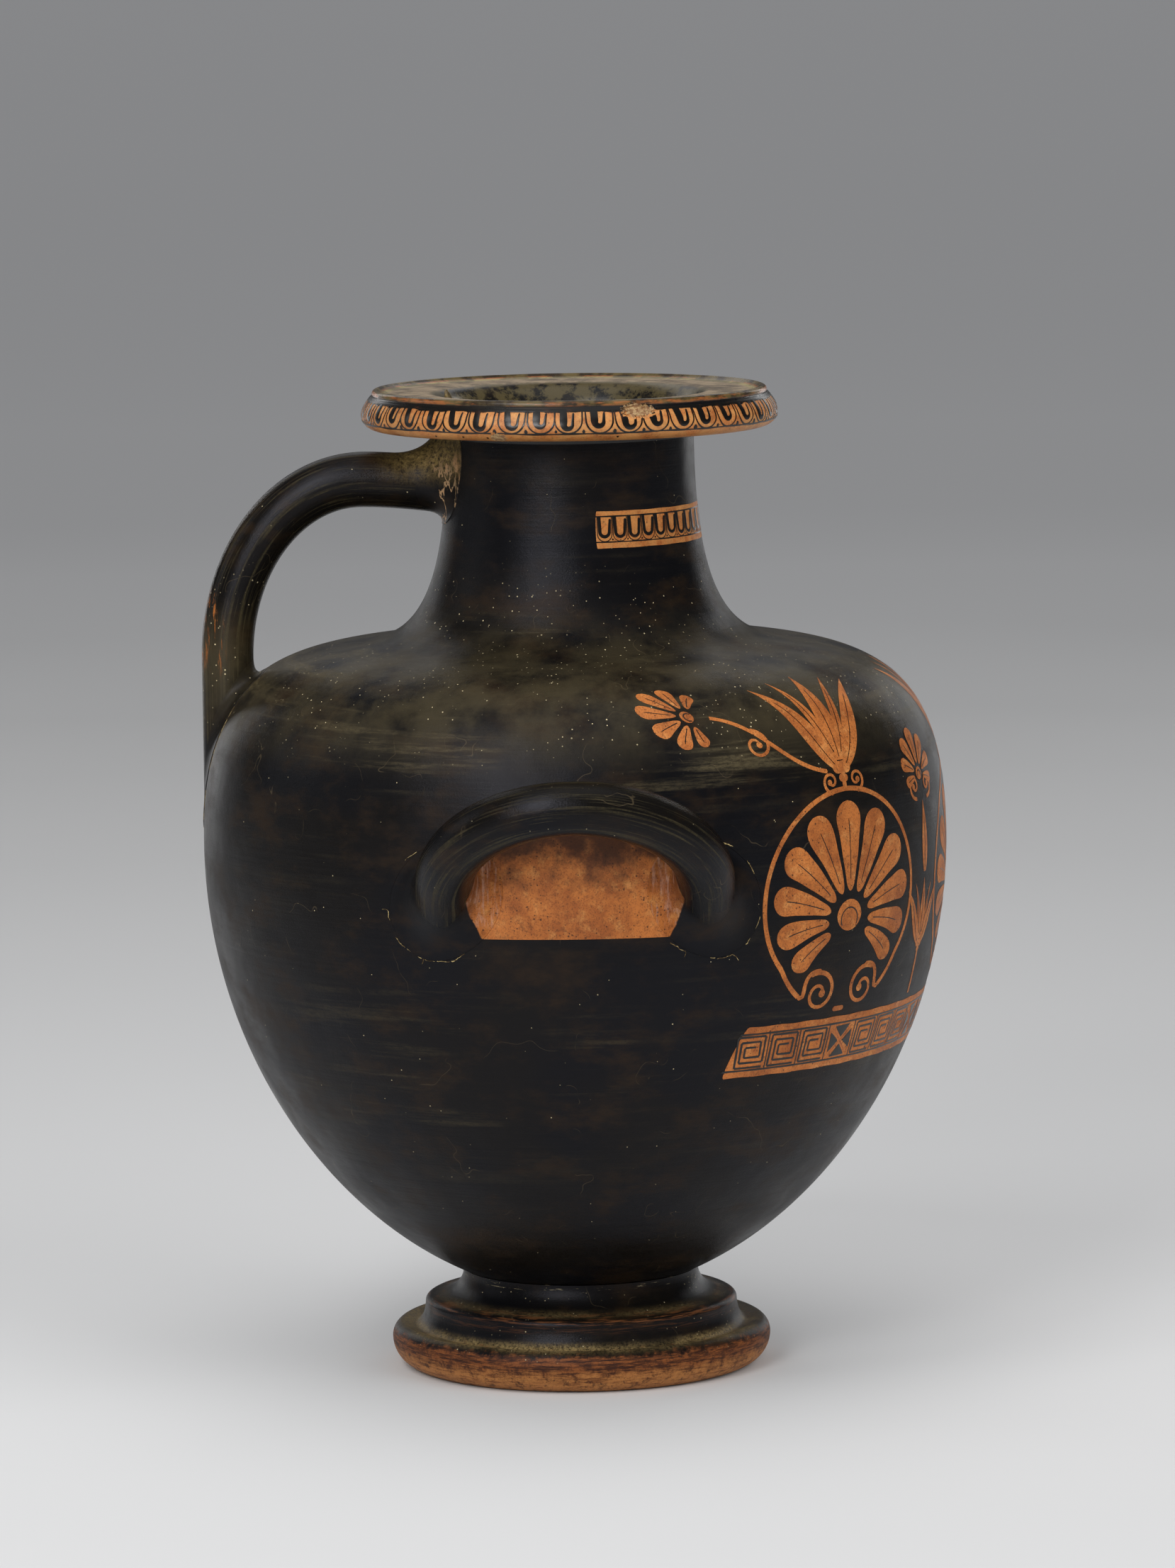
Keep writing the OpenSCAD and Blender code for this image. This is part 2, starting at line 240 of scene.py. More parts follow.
def rod(name, path, radii, across):
    """A round rod. Its attribute holds each point's place in the rod as if it were straight."""
    side = frames_along(path, across)
    angle = np.arange(ROD_SIDES) * 2 * math.pi / ROD_SIDES
    around = np.cos(angle)[None, :, None] * side[:, None] + np.sin(angle)[None, :, None] * across
    verts = (path[:, None] + radii[:, None, None] * around).reshape(-1, 3)
    faces = [tuple(f) for f in grid_faces(len(path), ROD_SIDES, closed_columns=True)[:, ::-1]]
    first, last = list(range(ROD_SIDES)), list(range(len(verts) - ROD_SIDES, len(verts)))
    piece = new_piece(name, verts, faces + [first, last[::-1]])
    straight = np.stack([
        radii[:, None] * np.cos(angle),
        radii[:, None] * np.sin(angle),
        np.repeat(run_length(path)[:, None], ROD_SIDES, axis=1),
    ], axis=-1)
    place = piece.data.attributes.new("straight", "FLOAT_VECTOR", "POINT")
    place.data.foreach_set("vector", (straight / MM).ravel())
    return piece


def wall_normal(point):
    """Outward normal of the wall at a point's height."""
    _, _, nr, nz = wall.at(wall.length_at(point[2]))
    r = math.hypot(point[0], point[1])
    return np.array([point[0] / r * nr, point[1] / r * nr, nz])


def toward_wall(point, normal):
    """Moves a point that lies near the wall onto it, along the wall's normal."""
    for _ in range(6):
        r = math.hypot(point[0], point[1])
        wr, wz, nr, nz = wall.at(wall.length_at(point[2]))
        point = point - normal * ((r - wr) * nr + (point[2] - wz) * nz)
    return point


rims = {}  # where each root's clay ends on the wall
CLAY_SIDES = 72
CLAY_PULL = 0.62  # how far its curve is drawn into the corner between handle and wall
CLAY_RISE = 0.33 * MM  # thickness of its edge on the wall
CLAY_EDGE = 0.7 * MM  # width of the strip by which its edge goes into the wall
CLAY_DEPTH = 0.4 * MM  # and how deep it goes
CLAY_HEEL = 1.2 * MM  # depth of its closed side under the corner


def worked_clay(name, line, reach_up, reach_out, steps=14, flip=False):
    """Clay smoothed from a handle onto the wall. line(angle, d) is the handle's skin, d from where that
    line meets the wall, and the skin's direction if d is None. reach_up(angle) and reach_out(angle) are how
    far the clay goes on the handle and on the wall."""
    rings, rim = [], []
    for k in range(CLAY_SIDES):
        angle = 2 * math.pi * k / CLAY_SIDES
        foot, away = line(angle, 0.0), line(angle, None)
        top = line(angle, reach_up(angle))
        normal = wall_normal(foot)
        level = away - normal * np.dot(away, normal)
        level /= np.linalg.norm(level)
        edge = toward_wall(foot + level * reach_out(angle), normal)
        edge_normal = wall_normal(edge)
        into_corner = top + CLAY_PULL * (foot - top), edge + CLAY_PULL * (foot - edge)
        curve = bezier((top, *into_corner, edge + CLAY_RISE * edge_normal), steps)
        outer = toward_wall(edge + level * CLAY_EDGE, edge_normal) - CLAY_DEPTH * edge_normal
        inner = foot - CLAY_HEEL * edge_normal - 0.1 * away
        rings.append(np.concatenate([curve, [outer, inner]]))
        rim.append(outer)
    verts = np.array(rings).transpose(1, 0, 2).reshape(-1, 3)
    faces = grid_faces(steps + 3, CLAY_SIDES, closed_rows=True, closed_columns=True)
    piece = new_piece(name, verts, faces[:, ::-1] if flip else faces)
    piece.data.set_sharp_from_angle(angle=SHARP)
    rims[name] = np.array(rim)
    return piece


def first_inside(point_at, far, near):
    """The distance along a line where it enters the wall."""
    for _ in range(40):
        middle = (far + near) / 2
        p = point_at(middle)
        if math.hypot(p[0], p[1]) > wall.radius_at(p[2]):
            far = middle
        else:
            near = middle
    return far


# Side handles: two legs and a half-round arch in a tilted plane

SIDE_HALF_W = 49.5 * MM
SIDE_TILT = math.radians(42)
SIDE_CENTRE = np.array([-BELLY_R + 1.5 * MM, 0, BELLY_Z + 1 * MM])
SIDE_OUT = np.array([-math.cos(SIDE_TILT), 0, math.sin(SIDE_TILT)])
SIDE_ACROSS = np.array([math.sin(SIDE_TILT), 0, math.cos(SIDE_TILT)])
SIDE_R = 10.14 * MM
SIDE_LEG_MORE = 1.1 * MM
HALF_ARCH = math.pi / 2 * SIDE_HALF_W
SIDE_START = -26 * MM  # where a leg starts, inside the wall
SIDE_CLEAR = 30 * MM  # a place on the arch that is clear of the wall


def side_point(s):
    """A place on the front half of the arch, s along it from the end of the leg."""
    turn = max(s, 0) / SIDE_HALF_W
    along = s if s <= 0 else SIDE_HALF_W * math.sin(turn)
    return SIDE_CENTRE + np.array([0, -SIDE_HALF_W * math.cos(turn), 0]) + SIDE_OUT * along


def side_radius(s):
    return SIDE_R + SIDE_LEG_MORE * (1 - min(max(s, 0), HALF_ARCH) / HALF_ARCH)


def mirrored(name, piece, flip_x=1, flip_y=1):
    """A mirror image of a piece, with its faces turned out again."""
    mesh = piece.data.copy()
    mesh.name = name
    mesh.transform(Matrix.Diagonal((flip_x, flip_y, 1, 1)))
    if flip_x * flip_y < 0:
        mesh.flip_normals()
    copy = bpy.data.objects.new(name, mesh)
    bpy.context.scene.collection.objects.link(copy)
    return copy


def side_handle_pieces():
    """The left side handle and the clay round its front root."""
    stations = np.concatenate([np.linspace(SIDE_START, 0, 16), np.linspace(0, HALF_ARCH, 60)[1:]])
    front = np.array([side_point(s) for s in stations])
    back = front[-2::-1] * np.array([1, -1, 1])
    radii = np.array([side_radius(s) for s in stations])
    path, radii = np.concatenate([front, back]), np.concatenate([radii, radii[-2::-1]])
    handle = rod("left_handle_rod", path, radii, SIDE_ACROSS)

    def skin(angle, s):
        side = side_point(s) - side_point(s - 0.1 * MM)
        outward = np.cross(SIDE_ACROSS, side)
        outward /= np.linalg.norm(outward)
        return side_point(s) + side_radius(s) * (math.cos(angle) * outward + math.sin(angle) * SIDE_ACROSS)

    foot_at = {}

    def line(angle, d):
        if angle not in foot_at:
            foot_at[angle] = first_inside(lambda s: skin(angle, s), SIDE_CLEAR, SIDE_START)
        if d is None:
            return skin(angle, foot_at[angle]) - side_point(foot_at[angle])
        return skin(angle, foot_at[angle] + d)

    clay = worked_clay(
        "left_handle_front_root_clay", line,
        lambda angle: (9 + 5 * abs(math.cos(angle))) * MM,
        lambda angle: (7 + 4 * math.cos(angle) ** 2) * MM,
    )
    return handle, clay


# Back handle: out of the neck, round and straight down into the shoulder

BACK_R = 10.28 * MM
BACK_CREST_MORE = 0.7 * MM
BACK_LINE_Y = BELLY_R - BACK_R - 0.5 * MM
CREST = np.array([NECK_R + 33 * MM, NECK_Z - 16.7 * MM])
BACK_RISE = 4 * MM
BACK_TURN_Z = SHOULDER_Z - 4.5 * MM
BACK_END_Z = BELLY_Z + 4 * MM
BACK_SEAT_IN = 13.8 * MM  # how far inside the neck its line starts
BACK_CLEAR = 30 * MM  # a length along it that is clear of the neck
BACK_CLEAR_LOW = 75 * MM  # the same from its lower end, clear of the shoulder
QUARTER_HOLD = 0.553
ACROSS_X = np.array([1.0, 0, 0])


def back_handle_line():
    out = bezier((
        (NECK_R - BACK_SEAT_IN, CREST[1] - BACK_RISE),
        (NECK_R + 6 * MM, CREST[1] - 0.55 * BACK_RISE),
        (CREST[0] - 14 * MM, CREST[1]),
        CREST,
    ), 30)
    over = bezier((
        CREST,
        (CREST[0] + QUARTER_HOLD * (BACK_LINE_Y - CREST[0]), CREST[1]),
        (BACK_LINE_Y, BACK_TURN_Z + QUARTER_HOLD * (CREST[1] - BACK_TURN_Z)),
        (BACK_LINE_Y, BACK_TURN_Z),
    ), 60)
    down = np.column_stack([np.full(36, BACK_LINE_Y), np.linspace(BACK_TURN_Z, BACK_END_Z, 37)[1:]])
    line = outline(out, over, down)
    growth = np.concatenate([
        np.ones(31), np.linspace(1, 0, 61)[1:] ** 2, np.zeros(len(line) - 91),
    ])
    path = np.column_stack([np.zeros(len(line)), line])
    return path, BACK_R + BACK_CREST_MORE * growth


def back_handle_pieces():
    path, radii = back_handle_line()
    handle = rod("back_handle_rod", path, radii, ACROSS_X)
    side = frames_along(path, ACROSS_X)
    length = run_length(path)

    def skin(angle, s):
        centre = np.array([np.interp(s, length, c) for c in path.T])
        out = np.array([np.interp(s, length, c) for c in side.T])
        r = np.interp(s, length, radii)
        return centre + r * (math.cos(angle) * out + math.sin(angle) * ACROSS_X), centre

    def root_line(far, near, sense):
        foot_at = {}

        def line(angle, d):
            if angle not in foot_at:
                foot_at[angle] = first_inside(lambda s: skin(angle, s)[0], far, near)
            s = foot_at[angle]
            if d is None:
                point, centre = skin(angle, s)
                return point - centre
            return skin(angle, s + sense * d)[0]
        return line

    # cos(angle) is 1 on the inner side of the bend: under the handle above, in front of it lower down
    upper = worked_clay(
        "back_handle_upper_root_clay", root_line(BACK_CLEAR, 0, 1),
        lambda angle: (7 + 15 * max(0, math.cos(angle)) + 6 * math.sin(angle) ** 2) * MM,
        lambda angle: (4 + 22 * max(0, math.cos(angle)) ** 1.5 + 8 * math.sin(angle) ** 2) * MM,
        steps=20,
    )
    total = length[-1]
    lower = worked_clay(
        "back_handle_lower_root_clay", root_line(total - BACK_CLEAR_LOW, total, -1),
        lambda angle: (8 + 4 * max(0, math.cos(angle))) * MM,
        lambda angle: (6 + 3 * math.sin(angle) ** 2) * MM,
        flip=True,
    )
    return handle, upper, lower


# Materials

def colour(red, green, blue):
    """Linear colour from the 0 to 255 values that a screen shows."""
    def linear(v):
        v /= 255
        return v / 12.92 if v <= 0.04045 else ((v + 0.055) / 1.055) ** 2.4
    return (linear(red), linear(green), linear(blue), 1.0)


class Nodes:
    """Builds one material. Its methods return sockets, and places are in millimetres."""

    def __init__(self, name):
        self.material = bpy.data.materials.new(name)
        self.material.use_nodes = True
        self.tree = self.material.node_tree
        self.tree.nodes.clear()
        coordinates = self.add("TexCoord").outputs["Object"]
        self.place = self.vector("SCALE", coordinates, scale=1000)
        parts = self.add("SeparateXYZ", {"Vector": self.place}).outputs
        self.x, self.y, self.z = parts
        self.r = self.math("SQRT", self.math("ADD", self.math("MULTIPLY", self.x, self.x),
                                             self.math("MULTIPLY", self.y, self.y)))

    def add(self, kind, inputs=None, **settings):
        node = self.tree.nodes.new("ShaderNode" + kind)
        for name, value in settings.items():
            setattr(node, name, value)
        for socket, value in (inputs or {}).items():
            self.feed(node.inputs[socket], value)
        return node

    def feed(self, socket, value):
        if isinstance(value, bpy.types.NodeSocket):
            self.tree.links.new(value, socket)
        else:
            socket.default_value = value

    def math(self, operation, a, b=0.0):
        return self.add("Math", {0: a, 1: b}, operation=operation).outputs[0]

    def vector(self, operation, a, b=None, scale=None):
        inputs = {0: a}
        if b is not None:
            inputs[1] = b
        if scale is not None:
            inputs["Scale"] = scale
        return self.add("VectorMath", inputs, operation=operation).outputs[0]

    def ease(self, value, low, high, to_low=0.0, to_high=1.0, kind="SMOOTHSTEP"):
        """Goes from to_low at low to to_high at high, smoothly unless another kind is asked for."""
        return self.add("MapRange", {
            "Value": value, "From Min": low, "From Max": high, "To Min": to_low, "To Max": to_high,
        }, interpolation_type=kind).outputs[0]

    def between(self, value, low, high, soft):
        """1 between two values, 0 outside them."""
        return self.math("MULTIPLY", self.ease(value, low - soft, low + soft),
                         self.ease(value, high - soft, high + soft, 1.0, 0.0))

    def noise(self, size, stretch=(1, 1, 1), shift=(0, 0, 0), detail=3.0, rough=0.5):
        """Noise whose lumps are about size millimetres, longer along each axis by its stretch."""
        scale = tuple(1 / (size * s) for s in stretch)
        place = self.vector("MULTIPLY", self.vector("ADD", self.place, shift), scale)
        return self.add("TexNoise", {
            "Vector": place, "Scale": 1.0, "Detail": detail, "Roughness": rough,
        }).outputs["Fac"]

    def cloud(self, size, low, high, to_low=0.0, to_high=1.0, **shape):
        """Noise that is eased from one value to another."""
        return self.ease(self.noise(size, **shape), low, high, to_low, to_high)

    def spots(self, spacing, size, share, shift=(0, 0, 0), soft=0.3):
        """Round spots, size across, in a random share of cells that are spacing wide."""
        place = self.vector("SCALE", self.vector("ADD", self.place, shift), scale=1 / spacing)
        cells = self.add("TexVoronoi", {"Vector": place, "Scale": 1.0, "Randomness": 1.0}, feature="F1")
        chance = self.add("SeparateColor", {"Color": cells.outputs["Color"]}).outputs
        wanted = self.math("LESS_THAN", chance[0], share)
        radius = self.math("MULTIPLY", chance[1], size / spacing)
        inside = self.math("SUBTRACT", radius, cells.outputs["Distance"])
        return self.math("MULTIPLY", self.ease(inside, 0.0, soft * size / spacing), wanted)

    def mix(self, factor, a, b):
        node = self.add("Mix", {0: factor, 6: a, 7: b}, data_type="RGBA")
        return node.outputs[2]

    def over(self, base, layer, *factors):
        """A colour laid over another, as strongly as the product of the factors."""
        return self.mix(self.all_of(*factors), base, layer)

    def blend(self, factor, a, b):
        """Between two numbers."""
        return self.add("Mix", {0: factor, 2: a, 3: b}, data_type="FLOAT").outputs[0]

    def all_of(self, *factors):
        result = factors[0]
        for factor in factors[1:]:
            result = self.math("MULTIPLY", result, factor)
        return result

    def any_of(self, *factors):
        result = factors[0]
        for factor in factors[1:]:
            result = self.math("MAXIMUM", result, factor)
        return result

    def finish(self, base, roughness, heights, **constants):
        """Closes the material. heights are (height in millimetres, strength) pairs for bump."""
        normal = None
        for height, strength in heights:
            inputs = {"Height": height, "Strength": strength, "Distance": MM}
            if normal is not None:
                inputs["Normal"] = normal
            normal = self.add("Bump", inputs).outputs[0]
        shader = self.add("BsdfPrincipled", {"Base Color": base, "Roughness": roughness})
        if normal is not None:
            self.feed(shader.inputs["Normal"], normal)
        for name, value in constants.items():
            shader.inputs[name.replace("_", " ")].default_value = value
        out = self.add("OutputMaterial")
        self.tree.links.new(shader.outputs[0], out.inputs[0])
        return self.material


ORANGE = colour(186, 110, 50)
ORANGE_DEEP = colour(152, 84, 36)
ORANGE_PALE = colour(216, 150, 84)
CLAY_DARK = colour(66, 36, 20)
BLACK = colour(17, 15, 13)
BLACK_BLUE = colour(13, 13, 15)
BROWN_BLACK = colour(42, 30, 17)
OLIVE = colour(80, 71, 50)
DEPOSIT = colour(152, 130, 86)
DEPOSIT_PALE = colour(204, 188, 148)


def clay_colour(n):
    """Fired clay: warm orange with paler and deeper clouds and fine dark grit."""
    clouds = n.cloud(15, 0.34, 0.62, shift=(11, 3, 7), detail=6, rough=0.62)
    base = n.mix(clouds, ORANGE_DEEP, ORANGE)
    pale = n.cloud(6, 0.50, 0.72, shift=(3, 19, 2), detail=6, rough=0.7)
    base = n.over(base, ORANGE_PALE, pale, 0.6)
    stains = n.cloud(3.2, 0.52, 0.68, shift=(13, 1, 12), detail=7, rough=0.78)
    base = n.over(base, CLAY_DARK, stains, 0.5)
    grit = n.cloud(0.7, 0.49, 0.62, detail=5, rough=0.85)
    base = n.over(base, CLAY_DARK, grit, 0.62)
    specks = n.spots(1.3, 0.5, 0.4, shift=(5, 5, 5))
    return n.over(base, CLAY_DARK, specks, 0.85), grit


def reserved_clay(name="reserved_clay", extra=None):
    """Bare clay. extra may change its colour."""
    n = Nodes(name)
    base, grit = clay_colour(n)
    if extra:
        base = extra(n, base)
    roughness = n.cloud(14, 0.3, 0.7, 0.46, 0.62, shift=(2, 8, 1))
    height = n.math("MULTIPLY", grit, -1.0)
    return n.finish(base, roughness, [(height, 0.05)], Specular_IOR_Level=0.3)


def painted_shade_top(n, base):
    """Painted shade in the upper part of the field behind a side handle: darker towards the top, where the
    arch shades it.
    """
    cloud = n.cloud(11, 0.3, 0.7, -7.0, 7.0, shift=(1, 1, 4), detail=5, rough=0.6)
    height = n.math("ADD", n.z, cloud)
    return n.mix(n.ease(height, 209, 229, 0.0, 0.92), base, colour(46, 25, 15))


def warmer(n, base):
    """The neck's panel, in a more golden clay."""
    golden = n.cloud(5, 0.32, 0.62, 0.0, 0.4, shift=(6, 4, 4), detail=5, rough=0.7)
    return n.mix(golden, base, colour(204, 150, 86))


def painted_line():
    """Black gloss laid on clay by brush: thinner and browner in places."""
    n = Nodes("painted_line")
    thin = n.cloud(5, 0.55, 0.78, shift=(1, 2, 3))
    base = n.over(BLACK, colour(70, 38, 20), thin, 0.5)
    return n.finish(base, 0.3, [], Specular_IOR_Level=0.45)


def pale_dust():
    """Lime and dust in cracks."""
    n = Nodes("crack_dust")
    base = n.mix(n.cloud(1.5, 0.38, 0.62, detail=4), colour(84, 66, 38), colour(190, 168, 116))
    return n.finish(base, 0.8, [(n.noise(0.5), 0.2)], Specular_IOR_Level=0.2)


def diluted_line():
    """Gloss thinned with water, brown on the clay."""
    n = Nodes("diluted_line")
    base = n.mix(n.cloud(3, 0.35, 0.7), colour(120, 56, 20), colour(176, 92, 40))
    return n.finish(base, 0.4, [], Specular_IOR_Level=0.4)


def olive_bands(n):
    """Where a thrown piece shows olive: bands on the shoulder, fewer low on the body, faint elsewhere."""
    bands = n.cloud(7, 0.50, 0.68, stretch=(12, 12, 0.55), shift=(3, 8, 20), detail=6, rough=0.66)
    patches = n.cloud(42, 0.40, 0.62, stretch=(1.5, 1.5, 0.8), shift=(70, 20, 15), detail=4)
    on_shoulder = n.between(n.z, 244, 300, 14)
    below = n.between(n.z, 100, 168, 22)
    where = n.any_of(on_shoulder, n.all_of(below, 0.35), 0.12)
    grain = n.cloud(1.4, 0.36, 0.60, 0.25, 1.0, stretch=(2.5, 2.5, 0.8), shift=(6, 2, 2), detail=6, rough=0.8)
    return n.all_of(bands, patches, where, grain)


def gloss_colour(n, thrown=True):
    """Black gloss, browner where the kiln or the brush left it thin, with olive bands on thrown pieces.
    Gives the colour, and where it is brown and where olive."""
    base = n.mix(n.cloud(60, 0.42, 0.60, shift=(40, 10, 5)), BLACK, BLACK_BLUE)
    mottle = n.cloud(18, 0.46, 0.72, stretch=(1.6, 1.6, 0.8), shift=(9, 1, 4), detail=7, rough=0.66)
    base = n.over(base, BROWN_BLACK, mottle, 0.75)
    near_neck = n.between(n.z, 262, 297, 15)
    veil = n.cloud(24, 0.30, 0.62, shift=(4, 7, 0), detail=5, rough=0.6)
    base = n.over(base, OLIVE, near_neck, veil, 0.5)
    if not thrown:
        return base, mottle, 0.0
    olive = olive_bands(n)
    return n.over(base, OLIVE, olive, 0.9), mottle, olive


def specks_and_scratches(n, base):
    """Pale specks, thickest on the shoulder and the neck, and a few fine scratches."""
    specks = n.all_of(
        n.spots(1.9, 0.38, 0.7, shift=(1, 7, 3)),
        n.between(n.z, 262, 316, 12),
        n.cloud(22, 0.38, 0.54, shift=(7, 7, 1)),
    )
    few = n.spots(3.6, 0.30, 0.6, shift=(4, 4, 9))
    base = n.mix(n.any_of(specks, n.all_of(few, 0.8)), base, DEPOSIT_PALE)
    hair = n.math("ABSOLUTE", n.math("SUBTRACT", n.noise(45, shift=(9, 2, 7)), 0.5))
    scratched = n.cloud(16, 0.52, 0.60, shift=(1, 60, 3))
    return n.over(base, colour(104, 90, 66), n.ease(hair, 0.0016, 0.0005), scratched, 0.3)


def black_gloss(name, extra=None, thrown=True):
    """Black gloss. extra changes one piece's colour and roughness. Thrown pieces have turning marks."""
    n = Nodes(name)
    base, mottle, olive = gloss_colour(n, thrown)
    base = specks_and_scratches(n, base)
    roughness = n.cloud(30, 0.3, 0.7, 0.29, 0.42, shift=(2, 30, 4), detail=5)
    roughness = n.blend(n.all_of(n.any_of(mottle, olive), 0.7), roughness, 0.50)
    if extra:
        base, roughness = extra(n, base, roughness)
    lumps = n.noise(24, shift=(5, 0, 9), detail=2)
    fine = n.noise(0.9, detail=5, rough=0.75)
    heights = [(lumps, 0.6), (fine, 0.16)]
    if thrown:
        turning = n.noise(3.2, stretch=(30, 30, 0.7), rough=0.6)
        heights.insert(1, (turning, 0.12))
    return n.finish(base, roughness, heights, Specular_IOR_Level=0.16, Specular_Tint=(0.88, 0.88, 1.0, 1.0))


def bare_edge(n, base, blots, grain):
    """The foot's lower edge, where the gloss has worn off: golden below and brown above."""
    streaks = n.noise(2.2, stretch=(5, 5, 0.45), shift=(1, 4, 6), detail=8, rough=0.8)
    height = n.math("ADD", n.z, n.ease(blots, 0.3, 0.7, -1.6, 1.6))
    golden = n.mix(n.ease(streaks, 0.36, 0.58), colour(116, 70, 38), colour(186, 126, 70))
    brown = n.mix(n.ease(streaks, 0.42, 0.64), colour(52, 30, 20), colour(150, 88, 44))
    edge = n.mix(n.ease(height, 4.5, 11.0), golden, brown)
    edge = n.over(edge, colour(58, 35, 25), n.ease(blots, 0.52, 0.63), 0.7)
    edge = n.over(edge, CLAY_DARK, n.ease(grain, 0.52, 0.62), 0.5)
    bare = n.all_of(n.ease(height, 16.4, 13.2), n.ease(streaks, 0.66, 0.52, 0.5, 1.0))
    return n.mix(bare, base, edge), bare


def foot_dust(n, base, grain):
    """Dust in the foot's valley and cove, in cracks round the stem, and as specks."""
    soft = n.noise(10, stretch=(1.6, 1.6, 1), shift=(3, 1, 9), detail=4)
    dusty = n.all_of(n.ease(grain, 0.34, 0.62), n.ease(soft, 0.32, 0.62, 0.25, 1.0))
    valley = n.all_of(n.between(n.r, 63.0, 72.0, 2.5), n.ease(n.z, 13.2, 15.4), n.ease(n.z, 19.6, 16.8), 0.85)
    cove = n.all_of(n.between(n.r, 53.5, 59.5, 2.6), n.ease(n.z, 27.0, 28.0), 0.34)
    base = n.over(base, DEPOSIT, n.any_of(valley, cove), dusty)
    crease = n.between(n.z, 36.0, 41.5, 1.0)
    cracks = n.cloud(1.8, 0.61, 0.65, stretch=(7, 7, 0.35), shift=(9, 9, 9), detail=6, rough=0.75)
    base = n.over(base, DEPOSIT_PALE, crease, cracks, 0.6)
    specks = n.spots(1.5, 0.34, 0.35, shift=(3, 8, 8))
    base = n.over(base, DEPOSIT_PALE, specks, n.ease(soft, 0.42, 0.60), n.ease(n.z, 12, 15), 0.8)
    return base, n.all_of(valley, dusty)


def foot_finish(n, base, roughness):
    """Wear and deposits of the foot: a bare lower edge, worn arrises and a dusty valley."""
    blots = n.noise(4, shift=(8, 2, 2), detail=7, rough=0.72)
    grain = n.noise(1.1, shift=(2, 2, 9), detail=6, rough=0.82)
    base, bare = bare_edge(n, base, blots, grain)
    below_arris = n.all_of(n.between(n.z, 22.0, 24.5, 0.8), 0.35)
    near_arris = n.any_of(n.between(n.z, 25.4, 28.2, 0.8), below_arris)
    worn = n.cloud(2.0, 0.49, 0.60, stretch=(7, 7, 0.3), shift=(6, 6, 0), detail=6, rough=0.72)
    base = n.over(base, colour(120, 74, 42), near_arris, worn, 0.6)
    base, dusted = foot_dust(n, base, grain)
    return base, n.blend(n.any_of(bare, dusted), roughness, 0.55)


# Chips of the lip: angle from the painted front, height, half width, half height and depth in millimetres
CHIPS = [
    (-70.5, 386.0, 6.5, 2.6, 0.9),
    (-110, 375.6, 3.4, 2.2, 0.7),
    (28, 386.4, 4.0, 1.8, 0.7),
    (118, 375.8, 4.5, 2.0, 0.7),
]
CHIP_IN = 1.5 * MM  # how far inside the lip's widest radius a chip's middle lies
CHIP_DROP = 0.35  # how far a chip's floor drops, as a share of its depth


def chip_places():
    """Where each chip's middle lies on the lip, and its half width, half height and depth, in metres."""
    for degrees, z, *sizes in CHIPS:
        angle = math.radians(degrees)
        r = LIP_R - CHIP_IN
        middle = np.array([r * math.sin(angle), -r * math.cos(angle), z * MM])
        yield middle, *(size * MM for size in sizes)


def chip_share(points):
    """How far into a chip each point lies, 0 outside and 1 in its floor, with its depth."""
    share, cut = np.zeros(len(points)), np.zeros(len(points))
    for middle, half_w, half_h, depth in chip_places():
        off = points - middle
        ragged = 0.22 * np.sin(points @ (2100, 1300, 2900)) + 0.16 * np.sin(points @ (3700, -4100, 900))
        level = (off[:, 0] ** 2 + off[:, 1] ** 2) / half_w ** 2
        far = np.sqrt(level + off[:, 2] ** 2 / half_h ** 2) + ragged
        here = np.clip((1.0 - far) / 0.25, 0, 1)
        share = np.maximum(share, here)
        cut = np.maximum(cut, here * depth * (0.75 + 0.25 * np.sin(points @ (1900, 2300, 3300))))
    return share, cut


def with_chips(verts):
    """Breaks the chips out of the lip."""
    _, cut = chip_share(verts)
    outward = verts * (1, 1, 0)
    outward /= np.maximum(np.linalg.norm(outward, axis=1), 1e-9)[:, None]
    return verts - outward * cut[:, None] - np.array([0, 0, CHIP_DROP]) * cut[:, None]


def worn_rim(n, base):
    """The raised rim, thin and worn at its edges, with a dusty ring inside it."""
    worn = n.cloud(4, 0.44, 0.60, stretch=(3, 3, 0.6), shift=(1, 1, 8), detail=6, rough=0.7)
    rim = n.all_of(n.between(n.r, 73.2, 79.2, 0.4), n.ease(n.z, 387.6, 388.4))
    thin = n.cloud(7, 0.4, 0.62, shift=(5, 1, 1), detail=5)
    base = n.mix(rim, base, n.mix(thin, colour(46, 35, 22), colour(92, 78, 46)))
    edges = n.any_of(n.between(n.r, 77.4, 79.0, 0.35), n.between(n.r, 73.4, 74.6, 0.35))
    base = n.over(base, colour(156, 92, 46), rim, edges, worn, 0.8)
    ring = n.all_of(n.between(n.r, 70.6, 73.6, 0.7), n.ease(n.z, 387.0, 387.8))
    return n.over(base, colour(156, 140, 88), ring, n.ease(worn, 0.0, 1.0, 0.35, 0.9)), ring


def dusty_shelf(n, base):
    """Pale dust on the dished shelf, and olive patches in the throat below it."""
    shelf = n.all_of(n.between(n.r, 53.5, 71.4, 1.4), n.ease(n.z, 386.6, 387.6))
    dust = n.cloud(5, 0.36, 0.62, stretch=(2, 2, 1), shift=(7, 3, 3), detail=6, rough=0.7)
    base = n.over(base, n.mix(dust, colour(88, 72, 50), colour(156, 134, 104)), shelf, 0.9)
    throat = n.all_of(n.ease(n.r, 56.0, 53.5), n.ease(n.z, 372.0, 376.0))
    patches = n.cloud(6, 0.40, 0.54, shift=(1, 9, 5), detail=7, rough=0.75)
    return n.over(base, colour(82, 72, 46), throat, patches, 0.85), shelf


